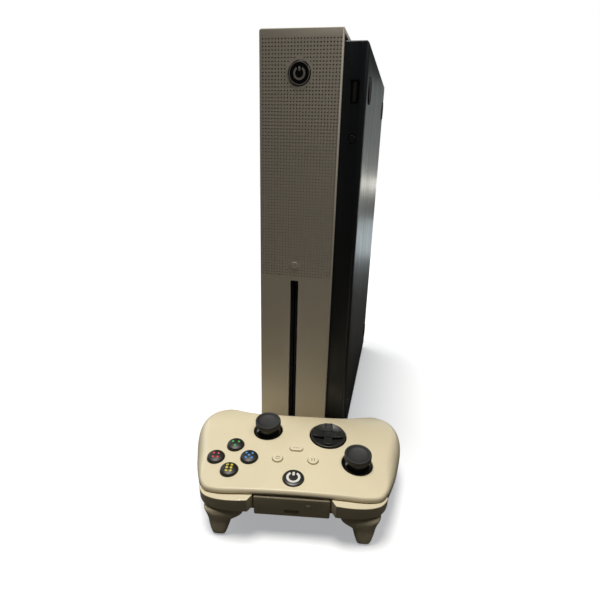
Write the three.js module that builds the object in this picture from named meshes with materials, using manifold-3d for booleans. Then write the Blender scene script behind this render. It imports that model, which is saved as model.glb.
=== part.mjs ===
// Slim disc console standing on its side, with a wireless controller lying in front of it.
// Millimetres, +Z up. The origin is the middle of the console's footprint on the surface:
// X runs from the white side to the black base, +Y runs from the front face to the rear.
import * as THREE from "three";
import { mergeVertices } from "three/addons/utils/BufferGeometryUtils.js";
import Module from "manifold-3d";

const wasm = await Module();
wasm.setup();

// ---------------------------------------------------------------- driving dimensions

const gap = 0.3; // clearance between neighbouring pieces

const con = {
  width: 65, // white side to black base face
  depth: 230,
  height: 295,
  shellWidth: 50.4, // white part of the width
  wall: 2.2,
  baseFront: 7.2, // the black base stands back from the front face
  baseRear: 4.5,
  baseEnd: 5.4,
};
const xWhite = -con.width / 2;
const xSplit = xWhite + con.shellWidth;
const xBase = con.width / 2;
const yFront = -con.depth / 2;
const yRear = con.depth / 2;

const slot = { x: -8, width: 5.8, z: 81, length: 125 };
const power = { x: -7.6, z: 271.6, radius: 6.6 };
const eject = { x: -8.2, z: 154.2, radius: 2.7 };
const sync = { x: 25.2, z: 236, radius: 2.3 };
const fan = { y: 4, z: 217, radius: 56, hub: 17, blades: 9 };
const vent = { radius: 52, pitch: 8, slit: 4, shortest: 10 }; // over the fan, in the white side
const drive = { x: [-19, 3], y: [-112, 24], z: [12, 150] };

const pad = {
  place: [6.2, -160.9, 39.9], // the middle of its face, above the surface
  yaw: 8.1, // degrees past facing the console
  tilt: -7.5, // the bumper end lies lower than the grips
  halfWidth: 74.6,
  wall: 2.2,
};
const face = { x: 41.8, y: 13.2, spacing: 11.2, radius: 5.7 };
const leftStick = { x: -40.7, y: 12 };
const rightStick = { x: 21.4, y: -14 };
const stickWell = 10.5; // radius of the opening in the face
const dishPlace = { x: -21.2, y: -11.8, radius: 12.1 };
const guide = { x: 0, y: 29.2, radius: 6.6 };
const battery = { radius: 7.1, length: 50.2, y: [5.9, 20.9], z: -23.6 };

// ---------------------------------------------------------------- finishes

function finish(color, roughness, metalness = 0) {
  return new THREE.MeshStandardMaterial({ color, roughness, metalness });
}
const white = finish(0xd9d4c8, 0.5);
const cream = finish(0xd8cfb8, 0.45);
const black = finish(0x17181a, 0.42);
const glossBlack = finish(0x0b0c0e, 0.15);
const rubber = finish(0x1a1a1b, 0.8);
const darkGrey = finish(0x2b2c2e, 0.6);
const steel = finish(0x9a9c9f, 0.35, 0.9);
const aluminium = finish(0xb4b7ba, 0.4, 0.9);
const board = finish(0x1e4a33, 0.55);
const cell = finish(0x6d7076, 0.35, 0.3);

// ---------------------------------------------------------------- solids

// A closed geometry as a solid that can be cut and joined.
function solid(geometry) {
  const bare = geometry.index ? geometry.toNonIndexed() : geometry.clone();
  bare.deleteAttribute("normal");
  bare.deleteAttribute("uv");
  const merged = mergeVertices(bare, 1e-4);
  const mesh = new wasm.Mesh({
    numProp: 3,
    vertProperties: merged.attributes.position.array,
    triVerts: new Uint32Array(merged.index.array),
  });
  return new wasm.Manifold(mesh);
}

function cut(body, ...tools) {
  return tools.reduce((rest, tool) => rest.subtract(tool), body);
}

function join(...bodies) {
  return bodies.reduce((all, body) => all.add(body));
}

function meshOf(name, body, material) {
  const data = body.getMesh();
  const geometry = new THREE.BufferGeometry();
  const corners = new THREE.BufferAttribute(new Float32Array(data.vertProperties), 3);
  geometry.setAttribute("position", corners);
  geometry.setIndex(new THREE.BufferAttribute(new Uint32Array(data.triVerts), 1));
  const mesh = new THREE.Mesh(geometry, material);
  mesh.name = name;
  return mesh;
}

// A box between two opposite corners.
function box(low, high) {
  const size = high.map((value, i) => value - low[i]);
  const geometry = new THREE.BoxGeometry(...size);
  geometry.translate(...low.map((value, i) => value + size[i] / 2));
  return solid(geometry);
}

const turn = {
  x: (geometry) => geometry.rotateZ(-Math.PI / 2),
  y: (geometry) => geometry,
  z: (geometry) => geometry.rotateX(Math.PI / 2),
};

// A round bar along an axis, from one end's height to the other's.
function bar(axis, centre, radius, start, end, sides = 24) {
  const geometry = new THREE.CylinderGeometry(radius, radius, end - start, sides);
  turn[axis](geometry);
  const middle = (start + end) / 2;
  const places = {
    x: [middle, centre[0], centre[1]],
    y: [centre[0], middle, centre[1]],
    z: [centre[0], centre[1], middle],
  };
  geometry.translate(...places[axis]);
  return solid(geometry);
}

// A turned piece about +Z: profile points are [radius, height], from the axis back to the axis.
function turned(profile, x, y, sides = 24) {
  const points = profile.map(([radius, height]) => new THREE.Vector2(radius, height));
  const geometry = new THREE.LatheGeometry(points, sides);
  geometry.rotateX(Math.PI / 2);
  geometry.translate(x, y, 0);
  return solid(geometry);
}

// A plan outline made solid between two heights, or a side outline between two places on X.
function prism(outline, start, end) {
  const shape = new THREE.Shape(outline.map(([a, b]) => new THREE.Vector2(a, b)));
  const geometry = new THREE.ExtrudeGeometry(shape, { depth: end - start, bevelEnabled: false });
  geometry.translate(0, 0, start);
  return geometry;
}

// The same with the outline drawn in Y and Z.
function sidePrism(outline, start, end) {
  const geometry = prism(outline, start, end);
  geometry.rotateX(Math.PI / 2);
  geometry.rotateZ(Math.PI / 2);
  return solid(geometry);
}

// ---------------------------------------------------------------- console

const consoleGroup = new THREE.Group();

function addToConsole(name, body, material) {
  consoleGroup.add(meshOf(name, body, material));
}

// White wrap: one long side and both ends, open at the front, the rear and the base side.
function outerShell() {
  const { wall, height } = con;
  const front = yFront + wall + gap;
  const block = box([xWhite, front, 0], [xSplit, yRear, height]);
  const hollow = box([xWhite + wall, front - 1, wall], [xSplit + 1, yRear + 1, height - wall]);
  const slits = [];
  for (let across = -vent.radius + vent.slit; across < vent.radius; across += vent.pitch) {
    const half = Math.sqrt(vent.radius ** 2 - across ** 2);
    const start = fan.y + across - vent.slit / 2;
    const low = [xWhite - 1, start, fan.z - half];
    const high = [xWhite + wall + 1, start + vent.slit, fan.z + half];
    if (half > vent.shortest) slits.push(box(low, high));
  }
  return cut(block, hollow, ...slits);
}

// White front plate with its disc slot and two button holes.
function frontFascia() {
  const plate = box([xWhite, yFront, 0], [xSplit, yFront + con.wall, con.height]);
  const low = [slot.x - slot.width / 2, yFront - 1, slot.z - slot.length / 2];
  const high = [slot.x + slot.width / 2, yFront + 4, slot.z + slot.length / 2];
  const holes = [power, eject].map((button) =>
    bar("y", [button.x, button.z], button.radius + gap, yFront - 1, yFront + 4, 32),
  );
  const lip = box([xSplit - 2.5, yFront + 1, 2.5], [xSplit, yFront + 4.6, con.height - 2.5]);
  return join(cut(plate, box(low, high), ...holes), lip);
}

// Black tray that closes the base side, with a flange inside the white wrap.
function baseShell() {
  const { wall, height, baseFront, baseRear, baseEnd } = con;
  const low = [xSplit - 3, yFront + baseFront, baseEnd];
  const high = [xBase, yRear - baseRear, height - baseEnd];
  const tray = box(low, high);
  const inset = wall + gap;
  const flangeLow = [xSplit - 3, yFront + inset + wall + gap, inset];
  const flangeHigh = [xSplit - 0.8, yRear - 2.6, height - inset];
  const flange = box(flangeLow, flangeHigh);
  const hollowLow = [xSplit - 4, low[1] + wall, low[2] + wall];
  const hollow = box(hollowLow, [xBase - wall, high[1] - wall, high[2] - wall]);
  const syncHole = bar("y", [sync.x, sync.z], sync.radius + gap, low[1] - 1, low[1] + 4);
  const plug = box([22.2, low[1] - 1, 256], [28.2, low[1] + 12, 269.4]);
  const socket = box([21.4, low[1] + 1, 255.2], [29, low[1] + 14, 270.2]);
  const tongue = box([24.1, low[1] + 1, 257], [26.3, low[1] + 13, 268.4]);
  const sinks = footPlaces.map(([y, z]) => bar("x", [y, z], footRadius + gap, xBase - 0.9, xBase + 1));
  const hollowTray = join(cut(join(tray, flange), hollow), socket);
  return join(cut(hollowTray, plug, syncHole, ...sinks), tongue);
}

// Four round rubber feet on the black base, for lying flat.
const footRadius = 8;
const footPlaces = [
  [-88, 30],
  [-88, 265],
  [90, 30],
  [90, 265],
];

function addFeet() {
  footPlaces.forEach(([y, z], i) => {
    addToConsole(`foot_${i + 1}`, bar("x", [y, z], footRadius, xBase - 0.6, xBase + 0.9), rubber);
  });
}

// Black rear panel with openings for the sockets.
const rearSockets = [
  { z: 172, height: 15, width: 5.6 },
  { z: 194, height: 15, width: 5.6 },
  { z: 214, height: 13.4, width: 6 },
  { z: 232, height: 13.4, width: 6 },
  { z: 256, height: 16, width: 12.6, open: true },
];
const boardX = 12; // the face of the mainboard that carries parts
const inlet = { x: -9, z: 60, width: 11, height: 20 };

function rearPanel() {
  const { wall, height } = con;
  const inset = wall + gap;
  const plateLow = [xWhite + inset, yRear - 2.2, inset];
  const plate = box(plateLow, [xSplit - 3.4, yRear - 0.6, height - inset]);
  const openings = rearSockets.map((s) => {
    const half = s.height / 2 + gap;
    const low = [boardX - s.width - gap - 0.4, yRear - 4, s.z - half];
    return box(low, [boardX + 0.6, yRear + 1, s.z + half]);
  });
  const inletHole = box(
    [inlet.x - inlet.width / 2 - gap, yRear - 4, inlet.z - inlet.height / 2 - gap],
    [inlet.x + inlet.width / 2 + gap, yRear + 1, inlet.z + inlet.height / 2 + gap],
  );
  return cut(plate, ...openings, inletHole);
}

// A stepped push button that faces the front: a disc with a wider flange behind its hole.
function frontButton(button, faceY, proud) {
  const cap = bar("y", [button.x, button.z], button.radius, faceY - proud, faceY + 3.2, 32);
  const flange = bar("y", [button.x, button.z], button.radius + 1.2, faceY + 2.6, faceY + 3.8, 32);
  return join(cap, flange);
}

// Disc drive case with its mouth behind the slot.
function opticalDrive() {
  const [x0, x1] = drive.x;
  const [y0, y1] = drive.y;
  const [z0, z1] = drive.z;
  const skin = 1.6;
  const block = box([x0, y0 + 4, z0], [x1, y1, z1]);
  const hollow = box([x0 + skin, y0 + 4 + skin, z0 + skin], [x1 - skin, y1 - skin, z1 - skin]);
  const mouthLow = [slot.x - slot.width / 2, y0 + 3, slot.z - slot.length / 2];
  const mouth = box(mouthLow, [slot.x + slot.width / 2, y0 + 8, slot.z + slot.length / 2]);
  return cut(block, hollow, mouth);
}

function discSpindle() {
  const centre = [-44, slot.z];
  const plate = bar("x", centre, 13, -15.4, -12.4);
  const nose = bar("x", centre, 7.3, -12.6, -10.9);
  const shaft = bar("x", centre, 3, -17, -15.2);
  return join(plate, nose, shaft);
}

function feedRoller() {
  const centre = [-13.8, -102.8];
  return join(bar("z", centre, 1.8, 16, 146, 12), bar("z", centre, 2.7, 24, 138, 12));
}

function hardDrive() {
  return cut(box([3.6, -98, 36], [10.6, 2, 106]), box([2, -70, 56], [4.4, -30, 86]));
}

// Mainboard with its rear sockets.
function mainboard() {
  const sheet = box([boardX, -100, 8], [boardX + 1.6, yRear - 8, 287]);
  const sockets = rearSockets.map((s) => {
    const half = s.height / 2;
    const middle = boardX - s.width / 2;
    const skin = 0.8;
    const shell = box([boardX - s.width, yRear - 18, s.z - half], [boardX + 0.2, yRear - skin, s.z + half]);
    const mouthLow = [boardX - s.width + skin, yRear - 12, s.z - half + skin];
    const mouth = box(mouthLow, [boardX - 0.6, yRear + 1, s.z + half - skin]);
    const tongueLow = [middle - 1.1, yRear - 13, s.z - half + 2];
    const tongue = box(tongueLow, [middle + 1.1, yRear - 1.4, s.z + half - 2]);
    return s.open ? cut(shell, mouth) : join(cut(shell, mouth), tongue);
  });
  return join(sheet, ...sockets);
}

function heatsink() {
  const foot = box([7.6, -40, 172], [11.6, 50, 262]);
  const fins = [];
  for (let z = 174; z < 262; z += 8) fins.push(box([-3, -40, z], [8, 50, z + 1.4]));
  return join(foot, ...fins);
}

// Square frame round the fan, with three arms that hold its hub.
function fanShroud() {
  const half = 63;
  const block = box([-29.8, fan.y - half, fan.z - half], [-5, fan.y + half, fan.z + half]);
  const bore = bar("x", [fan.y, fan.z], fan.radius + 2, -31, -7.4, 48);
  const exit = bar("x", [fan.y, fan.z], fan.radius - 2, -9, -4, 48);
  const hub = bar("x", [fan.y, fan.z], fan.hub - 3, -7.4, -5.2);
  const arms = [0, 1, 2].map((i) => {
    const arm = new THREE.BoxGeometry(2.2, 6, fan.radius + 2);
    arm.translate(0, 0, (fan.radius + 2) / 2);
    arm.rotateX((i * 2 * Math.PI) / 3);
    arm.translate(-6.3, fan.y, fan.z);
    return solid(arm);
  });
  return join(cut(block, bore, exit), hub, ...arms);
}

function fanRotor() {
  const hub = bar("x", [fan.y, fan.z], fan.hub, -27, -9);
  const blades = [];
  for (let i = 0; i < fan.blades; i += 1) {
    const blade = new THREE.BoxGeometry(1.4, 20, fan.radius - fan.hub + 3);
    blade.rotateZ(-0.75);
    blade.translate(-18, 0, fan.hub + (fan.radius - fan.hub) / 2 - 1.5);
    blade.rotateX((i * 2 * Math.PI) / fan.blades);
    blade.translate(0, fan.y, fan.z);
    blades.push(solid(blade));
  }
  return join(hub, ...blades);
}

function powerSupply() {
  const block = box([-27, 40, 12], [8, 106, 146]);
  const inletBody = box(
    [inlet.x - inlet.width / 2, 100, inlet.z - inlet.height / 2],
    [inlet.x + inlet.width / 2, yRear - 0.8, inlet.z + inlet.height / 2],
  );
  const pinHeights = [inlet.z - 4.3, inlet.z + 4.3];
  const rounds = pinHeights.map((z) => bar("y", [inlet.x, z], 3.7, yRear - 13, yRear + 1, 20));
  const pins = pinHeights.map((z) => bar("y", [inlet.x, z], 1.2, yRear - 14, yRear - 3, 10));
  return join(cut(join(block, inletBody), ...rounds), ...pins);
}

addToConsole("outer_shell", outerShell(), white);
addToConsole("front_fascia", frontFascia(), white);
addToConsole("base_shell", baseShell(), black);
addToConsole("rear_panel", rearPanel(), black);
addToConsole("power_button", frontButton(power, yFront, 0.4), black);
addToConsole("eject_button", frontButton(eject, yFront, 0.3), white);
addToConsole("console_sync_button", frontButton(sync, yFront + con.baseFront, 0.2), black);
addToConsole("optical_drive", opticalDrive(), darkGrey);
addToConsole("disc_spindle", discSpindle(), darkGrey);
addToConsole("feed_roller", feedRoller(), rubber);
addToConsole("hard_drive", hardDrive(), steel);
addToConsole("mainboard", mainboard(), board);
addToConsole("heatsink", heatsink(), aluminium);
addToConsole("fan_shroud", fanShroud(), black);
addToConsole("fan_rotor", fanRotor(), black);
addToConsole("power_supply", powerSupply(), darkGrey);
addFeet();

// ---------------------------------------------------------------- controller body

// Its own frame: x to the player's right, y towards the bumpers, z out of the face.
const padGroup = new THREE.Group();
padGroup.position.set(...pad.place);
const [padTilt, padTurn] = [pad.tilt, 180 + pad.yaw].map(THREE.MathUtils.degToRad);
padGroup.rotation.set(padTilt, 0, padTurn, "ZYX");

function addToPad(name, body, material) {
  padGroup.add(meshOf(name, body, material));
}

// Half of the plan outline, from the front middle round a grip to the rear middle.
const halfOutline = [
  [0, 40.6],
  [30, 40.6],
  [47, 40.3],
  [55, 38],
  [59.3, 32.5],
  [63.1, 23.5],
  [67.2, 11.5],
  [70.6, -1],
  [73.3, -13],
  [pad.halfWidth, -25],
  [73.7, -37],
  [69.8, -48],
  [63, -55.2],
  [56, -57.6],
  [49.5, -55],
  [43.5, -50],
  [36.5, -45.5],
  [27, -42.8],
  [14, -41.4],
];

const padOutline = (() => {
  const right = halfOutline.map(([x, y]) => new THREE.Vector3(x, y, 0));
  const left = halfOutline.slice(1).reverse().map(([x, y]) => new THREE.Vector3(-x, y, 0));
  const rearMiddle = new THREE.Vector3(0, -41, 0);
  const curve = new THREE.CatmullRomCurve3([...right, rearMiddle, ...left], true, "centripetal");
  return curve.getPoints(400);
})();

function smooth(t) {
  const s = THREE.MathUtils.clamp(t, 0, 1);
  return s * s * (3 - 2 * s);
}

// Shortest way from a point of the plan to the outline.
function edgeDistance(x, y) {
  return Math.min(...padOutline.map((p) => Math.hypot(p.x - x, p.y - y)));
}

// Quarter-round falling from 1 inside the edge to 0 at it.
function roundOff(distance, radius) {
  const t = Math.min(distance / radius, 1);
  return Math.sqrt(Math.max(0, 1 - (1 - t) ** 2));
}

function crown(x, y) {
  const drop = y < -14 ? 0.0085 * (y + 14) ** 2 : 0;
  return 1.2 - 0.0009 * x * x - drop;
}

// Height of the seam between the face shell and everything under it.
function seam(x, y) {
  return crown(x, y) - 2.8 - 9.8 * smooth((38 - y) / 40);
}

function underside(x, y) {
  const grip = smooth((-6 - y) / 34) * smooth((Math.abs(x) - 26) / 22);
  return -19 - 11 * smooth((38 - y) / 30) - 15.1 * grip;
}

function faceHeight(x, y, distance) {
  const radius = 2 + 7 * smooth((37 - y) / 30);
  return seam(x, y) + (crown(x, y) - seam(x, y)) * roundOff(distance, radius);
}

function lowerHeight(x, y, distance) {
  const radius = 5 + 11 * smooth((34 - y) / 30);
  return seam(x, y) + (underside(x, y) - seam(x, y)) * roundOff(distance, radius);
}

// Front and rear ends of the plan at one place across the width.
function planEnds(x) {
  let low = Infinity;
  let high = -Infinity;
  for (let i = 1; i < padOutline.length; i += 1) {
    const a = padOutline[i - 1];
    const b = padOutline[i];
    const across = (a.x - x) * (b.x - x) <= 0 && a.x !== b.x;
    if (across) {
      const y = a.y + ((x - a.x) / (b.x - a.x)) * (b.y - a.y);
      low = Math.min(low, y);
      high = Math.max(high, y);
    }
  }
  return [low, high];
}

// A pillow inside the plan outline: a sphere whose poles lie at the two sides, with its upper
// half lifted to one height formula and its lower half to another.
function pillow(upper, lower, rimDrop, inset, across = 40, around = 22) {
  const geometry = new THREE.SphereGeometry(1, around, across);
  const corners = geometry.attributes.position;
  const reach = Math.max(...padOutline.map((p) => p.x));
  for (let i = 0; i < corners.count; i += 1) {
    const along = corners.getY(i);
    const ring = Math.hypot(corners.getX(i), corners.getZ(i));
    const side = ring > 1e-6 ? -corners.getX(i) / ring : 0;
    const x = along * reach * 0.9995;
    const [low, high] = planEnds(x);
    const y = (low + high) / 2 + (side * (high - low)) / 2;
    const rim = 1 - Math.abs(side) < 1e-6 || ring < 1e-6;
    const distance = rim ? 0 : edgeDistance(x, y);
    const height = corners.getZ(i) >= 0 ? upper(x, y, distance) : lower(x, y, distance);
    const z = rim ? seam(x, y) - rimDrop : height;
    const halfDepth = Math.max(0, (high - low) / 2 - inset);
    corners.setXYZ(i, (x * (reach - inset)) / reach, (low + high) / 2 + side * halfDepth, z);
  }
  return solid(geometry);
}

const { wall } = pad;
const seamGap = 0.5;
const faceSolid = pillow(faceHeight, seam, 0, 0);
const lowerSolid = pillow(
  (x, y) => seam(x, y) - seamGap,
  (x, y, d) => lowerHeight(x, y, d) - seamGap,
  seamGap,
  0,
);
const hollow = pillow(
  (x, y, d) => faceHeight(x, y, d) - wall,
  (x, y, d) => lowerHeight(x, y, d) + wall,
  1,
  wall,
  28,
  16,
);

// A hole or a bar that stands along z at a place on the face.
function upright(place, radius, low, high, sides = 32) {
  return bar("z", [place.x, place.y], radius, low, high, sides);
}

const faceButtons = {
  button_south: { x: face.x, y: face.y - face.spacing },
  button_east: { x: face.x + face.spacing, y: face.y },
  button_west: { x: face.x - face.spacing, y: face.y },
  button_north: { x: face.x, y: face.y + face.spacing },
};
const smallButtons = {
  view_button: { x: -11.7, y: 13.1, radius: 3.4, stretch: 0 },
  menu_button: { x: 11.7, y: 13.1, radius: 3.4, stretch: 0 },
  share_button: { x: 0, y: 3.4, radius: 2.3, stretch: 2.1 },
};
const boardTop = -11;
const splitX = 33; // the grip panels start here
const farOut = 90; // past every edge of the controller
const bayTop = -13.3;
const bossPlaces = [
  { x: -22, y: -31 },
  { x: 22, y: -31 },
  { x: -60, y: -8 },
  { x: 60, y: -8 },
];

// Clearance round a pill shape: two rounds and the block between them.
function pill(place, radius, low, high) {
  const { x, y, stretch } = place;
  if (stretch === 0) return upright(place, radius, low, high, 24);
  const ends = [-stretch, stretch].map((dx) => upright({ x: x + dx, y }, radius, low, high, 24));
  return join(box([x - stretch, y - radius, low], [x + stretch, y + radius, high]), ...ends);
}

function faceShell() {
  const holes = [
    upright(leftStick, stickWell, -20, 9, 28),
    upright(rightStick, stickWell, -20, 9, 28),
    upright(dishPlace, dishPlace.radius + 0.9, -20, 9),
    upright(guide, guide.radius + gap + 0.1, -20, 9, 24),
    ...Object.values(faceButtons).map((place) => upright(place, face.radius + gap, -20, 9, 20)),
    ...Object.values(smallButtons).map((place) => pill(place, place.radius + gap, -20, 9)),
  ];
  const shell = cut(faceSolid, hollow, ...holes);
  const underFace = pillow(faceHeight, () => -30, 30, 0.4, 24, 16);
  const bosses = bossPlaces.map((place) => {
    const top = crown(place.x, place.y) - 1.6;
    const boss = cut(upright(place, 3.2, -18, top, 12), upright(place, 1.5, -19, top - 3, 8));
    return boss.intersect(underFace);
  });
  return join(shell, ...bosses);
}

// Plan and side shape of the battery cover, in y and z.
const door = {
  halfWidth: 28.4,
  side: [
    [-5.5, -27],
    [-5.5, -31],
    [-2, -33.8],
    [24, -33.8],
    [30.6, -27.4],
    [30.6, -21],
  ],
  inside: [
    [-3.9, -15],
    [-3.9, -30.2],
    [-1.4, -32.2],
    [23.3, -32.2],
    [29, -26.7],
    [29, -15],
  ],
  skin: 1.6,
};

function batteryDoor() {
  const { halfWidth, side, inside, skin } = door;
  const block = sidePrism(side, -halfWidth, halfWidth);
  const pocket = sidePrism(inside, -halfWidth + skin, halfWidth - skin);
  return cut(block, pocket);
}

function doorOpening() {
  const { halfWidth } = door;
  const rear = door.side[0][0] - gap;
  return box([-halfWidth - gap, rear, -farOut], [halfWidth + gap, farOut, -13]);
}

// Everything under the seam, less the bumpers' room, the triggers' bays and the battery opening.
function lowerBody() {
  const bumperRoom = box([-farOut, 31, -farOut], [farOut, farOut, 10]);
  const bays = [
    box([28.6, 21.6, -farOut], [62, farOut, bayTop]),
    box([-62, 21.6, -farOut], [-28.6, farOut, bayTop]),
  ];
  return cut(lowerSolid, hollow, bumperRoom, ...bays);
}

// Everything on one side of the controller from a place outwards.
function outside(side, start) {
  const low = side > 0 ? start : -farOut;
  const high = side > 0 ? farOut : -start;
  return box([low, -farOut, -farOut], [high, farOut, farOut]);
}

const lower = lowerBody();

function backShell() {
  return cut(lower, outside(1, splitX - gap / 2), outside(-1, splitX - gap / 2), doorOpening());
}

// The bumper strip stands about 5 mm in front of the face shell's lip.
const bumperPlan = [
  [24.4, 33.2],
  [59.6, 33.2],
  [58, 37],
  [54.6, 41],
  [49, 43.6],
  [42, 45],
  [34, 45.4],
  [27.2, 45],
  [24.4, 40.6],
];
const bumperBottom = -13;

function bumper(side) {
  const outline = bumperPlan.map(([x, y]) => [side * x, y]);
  const geometry = prism(side > 0 ? outline : outline.reverse(), bumperBottom, 0);
  const corners = geometry.attributes.position;
  for (let i = 0; i < corners.count; i += 1) {
    const x = corners.getX(i);
    const y = Math.min(corners.getY(i), 40.6);
    if (corners.getZ(i) > -1) corners.setZ(i, seam(x, y) - 0.6);
  }
  return solid(geometry);
}

const syncPlace = { x: -10.4, z: -10.3, radius: 1.9 };

function bumperBridge() {
  const top = seam(24, 33) - 0.9;
  const block = box([-23.8, 33.2, -19.7], [23.8, 41.2, top]);
  const pocket = box([-21.4, 32, -17.9], [21.4, 39.2, top - 1.6]);
  const hole = bar("y", [syncPlace.x, syncPlace.z], syncPlace.radius + 0.25, 38, 43);
  const port = box([-4.9, 38, -16.9], [4.9, 43, -13.5]);
  const room = upright(guide, guide.radius + 2, top - 5, top + 5);
  return cut(block, pocket, hole, port, room);
}

function padSyncButton() {
  const centre = [syncPlace.x, syncPlace.z];
  const stem = bar("y", centre, syncPlace.radius, 37.5, 41.5);
  return join(stem, bar("y", centre, 2.7, 37.2, 38.6));
}

const triggerSide = [
  [44.6, -13.8],
  [45.6, -18],
  [46, -24],
  [47, -29.5],
  [47.6, -32.6],
  [45, -33.9],
  [41.5, -31],
  [36, -26.4],
  [27, -23],
  [25.4, -18],
  [28, -14.4],
];
const triggerFront = [
  [29.4, -13],
  [30, -18.5],
  [37.4, -22.5],
  [40.2, -29],
  [43, -34],
  [48, -34],
  [50.6, -29.5],
  [54, -20.5],
  [58, -13],
];

function trigger(side) {
  const profile = sidePrism(triggerSide, side > 0 ? 28 : -60, side > 0 ? 60 : -28);
  const outline = triggerFront.map(([x, z]) => [side * x, z]);
  const front = prism(side > 0 ? outline : outline.reverse(), -60, 0);
  front.rotateX(Math.PI / 2);
  return profile.intersect(solid(front));
}

// ---------------------------------------------------------------- controller controls

// The height just clear of the face shell's inner side all round a place.
function shellUnder(place, radius) {
  const heights = [0, 1, 2, 3, 4, 5, 6, 7].map((i) => {
    const x = place.x + radius * Math.cos((i * Math.PI) / 4);
    const y = place.y + radius * Math.sin((i * Math.PI) / 4);
    return faceHeight(x, y, edgeDistance(x, y) - wall);
  });
  return Math.min(...heights) - wall - gap;
}

function faceButton(place) {
  const top = crown(place.x, place.y);
  const under = shellUnder(place, face.radius + 1.1);
  const profile = [
    [0, boardTop + 1.6],
    [2.2, boardTop + 1.6],
    [2.2, under - 1.2],
    [face.radius + 1.1, under - 1.2],
    [face.radius + 1.1, under],
    [face.radius, under],
    [face.radius, top + 1.1],
    [face.radius - 1.1, top + 2],
    [0, top + 2.4],
  ];
  return turned(profile, place.x, place.y, 20);
}

function smallButton(place) {
  const top = crown(place.x, place.y);
  const under = shellUnder(place, place.radius + place.stretch + 1);
  const cap = pill(place, place.radius, under - 1, top + 0.9);
  const rim = pill(place, place.radius + 1, under - 1, under);
  return join(cap, rim, upright(place, 1.4, boardTop + 0.9, under, 12));
}

function guideButton() {
  const top = crown(guide.x, guide.y);
  const under = shellUnder(guide, guide.radius + 0.8) - 0.5;
  const profile = [
    [0, boardTop + 1],
    [2.4, boardTop + 1],
    [2.4, under - 1.2],
    [guide.radius + 0.8, under - 1.2],
    [guide.radius + 0.8, under],
    [guide.radius, under],
    [guide.radius, top + 0.2],
    [guide.radius - 0.8, top + 0.6],
    [0, top + 1],
  ];
  return turned(profile, guide.x, guide.y, 24);
}

// Thumbstick: a shaft, a ball skirt that shuts the well, and a dished cap.
const pivotOf = (place) => crown(place.x, place.y) - 7.9;

function stickCap(place) {
  const pivot = pivotOf(place);
  const outer = 11.1;
  const inner = 9.8;
  const arc = (radius, degrees) => {
    const angle = THREE.MathUtils.degToRad(degrees);
    return [radius * Math.sin(angle), pivot + radius * Math.cos(angle)];
  };
  const profile = [
    [0, pivot - 1.3],
    [2, pivot - 1.3],
    arc(inner, 11.9),
    ...[34, 57, 80].map((degrees) => arc(inner, degrees)),
    ...[80, 66, 51, 36].map((degrees) => arc(outer, degrees)),
    [6.4, pivot + 11.9],
    [7.9, pivot + 12.8],
    [8.8, pivot + 13.5],
    [8.8, pivot + 16.1],
    [8.1, pivot + 16.7],
    [6.8, pivot + 16.2],
    [0, pivot + 15.4],
  ];
  return turned(profile, place.x, place.y, 28);
}

function stickRocker(place) {
  const pivot = pivotOf(place);
  const disc = upright(place, 6.2, pivot - 1.4, pivot + 1.4, 20);
  const { x, y } = place;
  return cut(disc, box([x - 3.4, y - 2.4, pivot - 5], [x + 3.4, y + 2.4, pivot + 5]));
}

function stickCarriage(place) {
  const { x, y } = place;
  const pivot = pivotOf(place);
  const cup = upright(place, 8.2, pivot - 5.6, pivot + 2.2, 24);
  const bowl = upright(place, 6.9, pivot - 4.4, pivot + 4, 20);
  return join(cut(cup, bowl), box([x - 2.5, y - 2.5, pivot - 9], [x + 2.5, y + 2.5, pivot - 5.2]));
}

function stickModule(place) {
  const { x, y } = place;
  const pivot = pivotOf(place);
  const block = box([x - 8.5, y - 8.5, pivot - 13.4], [x + 8.5, y + 8.5, pivot - 6.8]);
  return cut(block, box([x - 3, y - 3, pivot - 11], [x + 3, y + 3, pivot - 6]));
}

// Round dished direction pad with a raised cross.
function directionPad() {
  const { x, y, radius } = dishPlace;
  const profile = [
    [0, -6.2],
    [2.4, -6.2],
    [2.4, -2.6],
    [radius - 0.4, -2.6],
    [radius, -2.2],
    [radius, 1.2],
    [radius - 0.6, 1.7],
    [7, 0.3],
    [0, -0.2],
  ];
  const armLong = 10.4;
  const armHalf = 2.9;
  const cross = join(
    box([x - armLong, y - armHalf, -1.6], [x + armLong, y + armHalf, 2.4]),
    box([x - armHalf, y - armLong, -1.6], [x + armHalf, y + armLong, 2.4]),
  );
  return join(turned(profile, x, y, 32), cross);
}

// ---------------------------------------------------------------- controller inside

function controllerBoard() {
  const plan = [
    [-53, 26],
    [-53, -6],
    [-38, -26.5],
    [38, -26.5],
    [53, -6],
    [53, 26],
    [7.2, 26],
    [7.2, 37],
    [-7.2, 37],
    [-7.2, 26],
  ];
  const sheet = solid(prism(plan, boardTop - 1.5, boardTop));
  const wells = [leftStick, rightStick].map((place) => upright(place, 9.2, -20, 0));
  const bossHoles = bossPlaces.map((place) => upright(place, 4, -20, 0, 16));
  const socket = box([-4.6, 30, -16.7], [4.6, 38.8, boardTop - 1.2]);
  const mouth = box([-3.8, 34, -16], [3.8, 40, -14.4]);
  return join(cut(sheet, ...wells, ...bossHoles), cut(socket, mouth));
}

function batteryCell(y) {
  const end = battery.length / 2;
  const can = bar("x", [y, battery.z], battery.radius, -end + 1.2, end - 1.2, 20);
  return join(can, bar("x", [y, battery.z], 2.6, end - 1.6, end, 12));
}

const motorPlace = { x: 55, y: -29 };

function rumbleMotor(side) {
  return upright({ x: side * motorPlace.x, y: motorPlace.y }, 6.2, -35, -19, 20);
}

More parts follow.
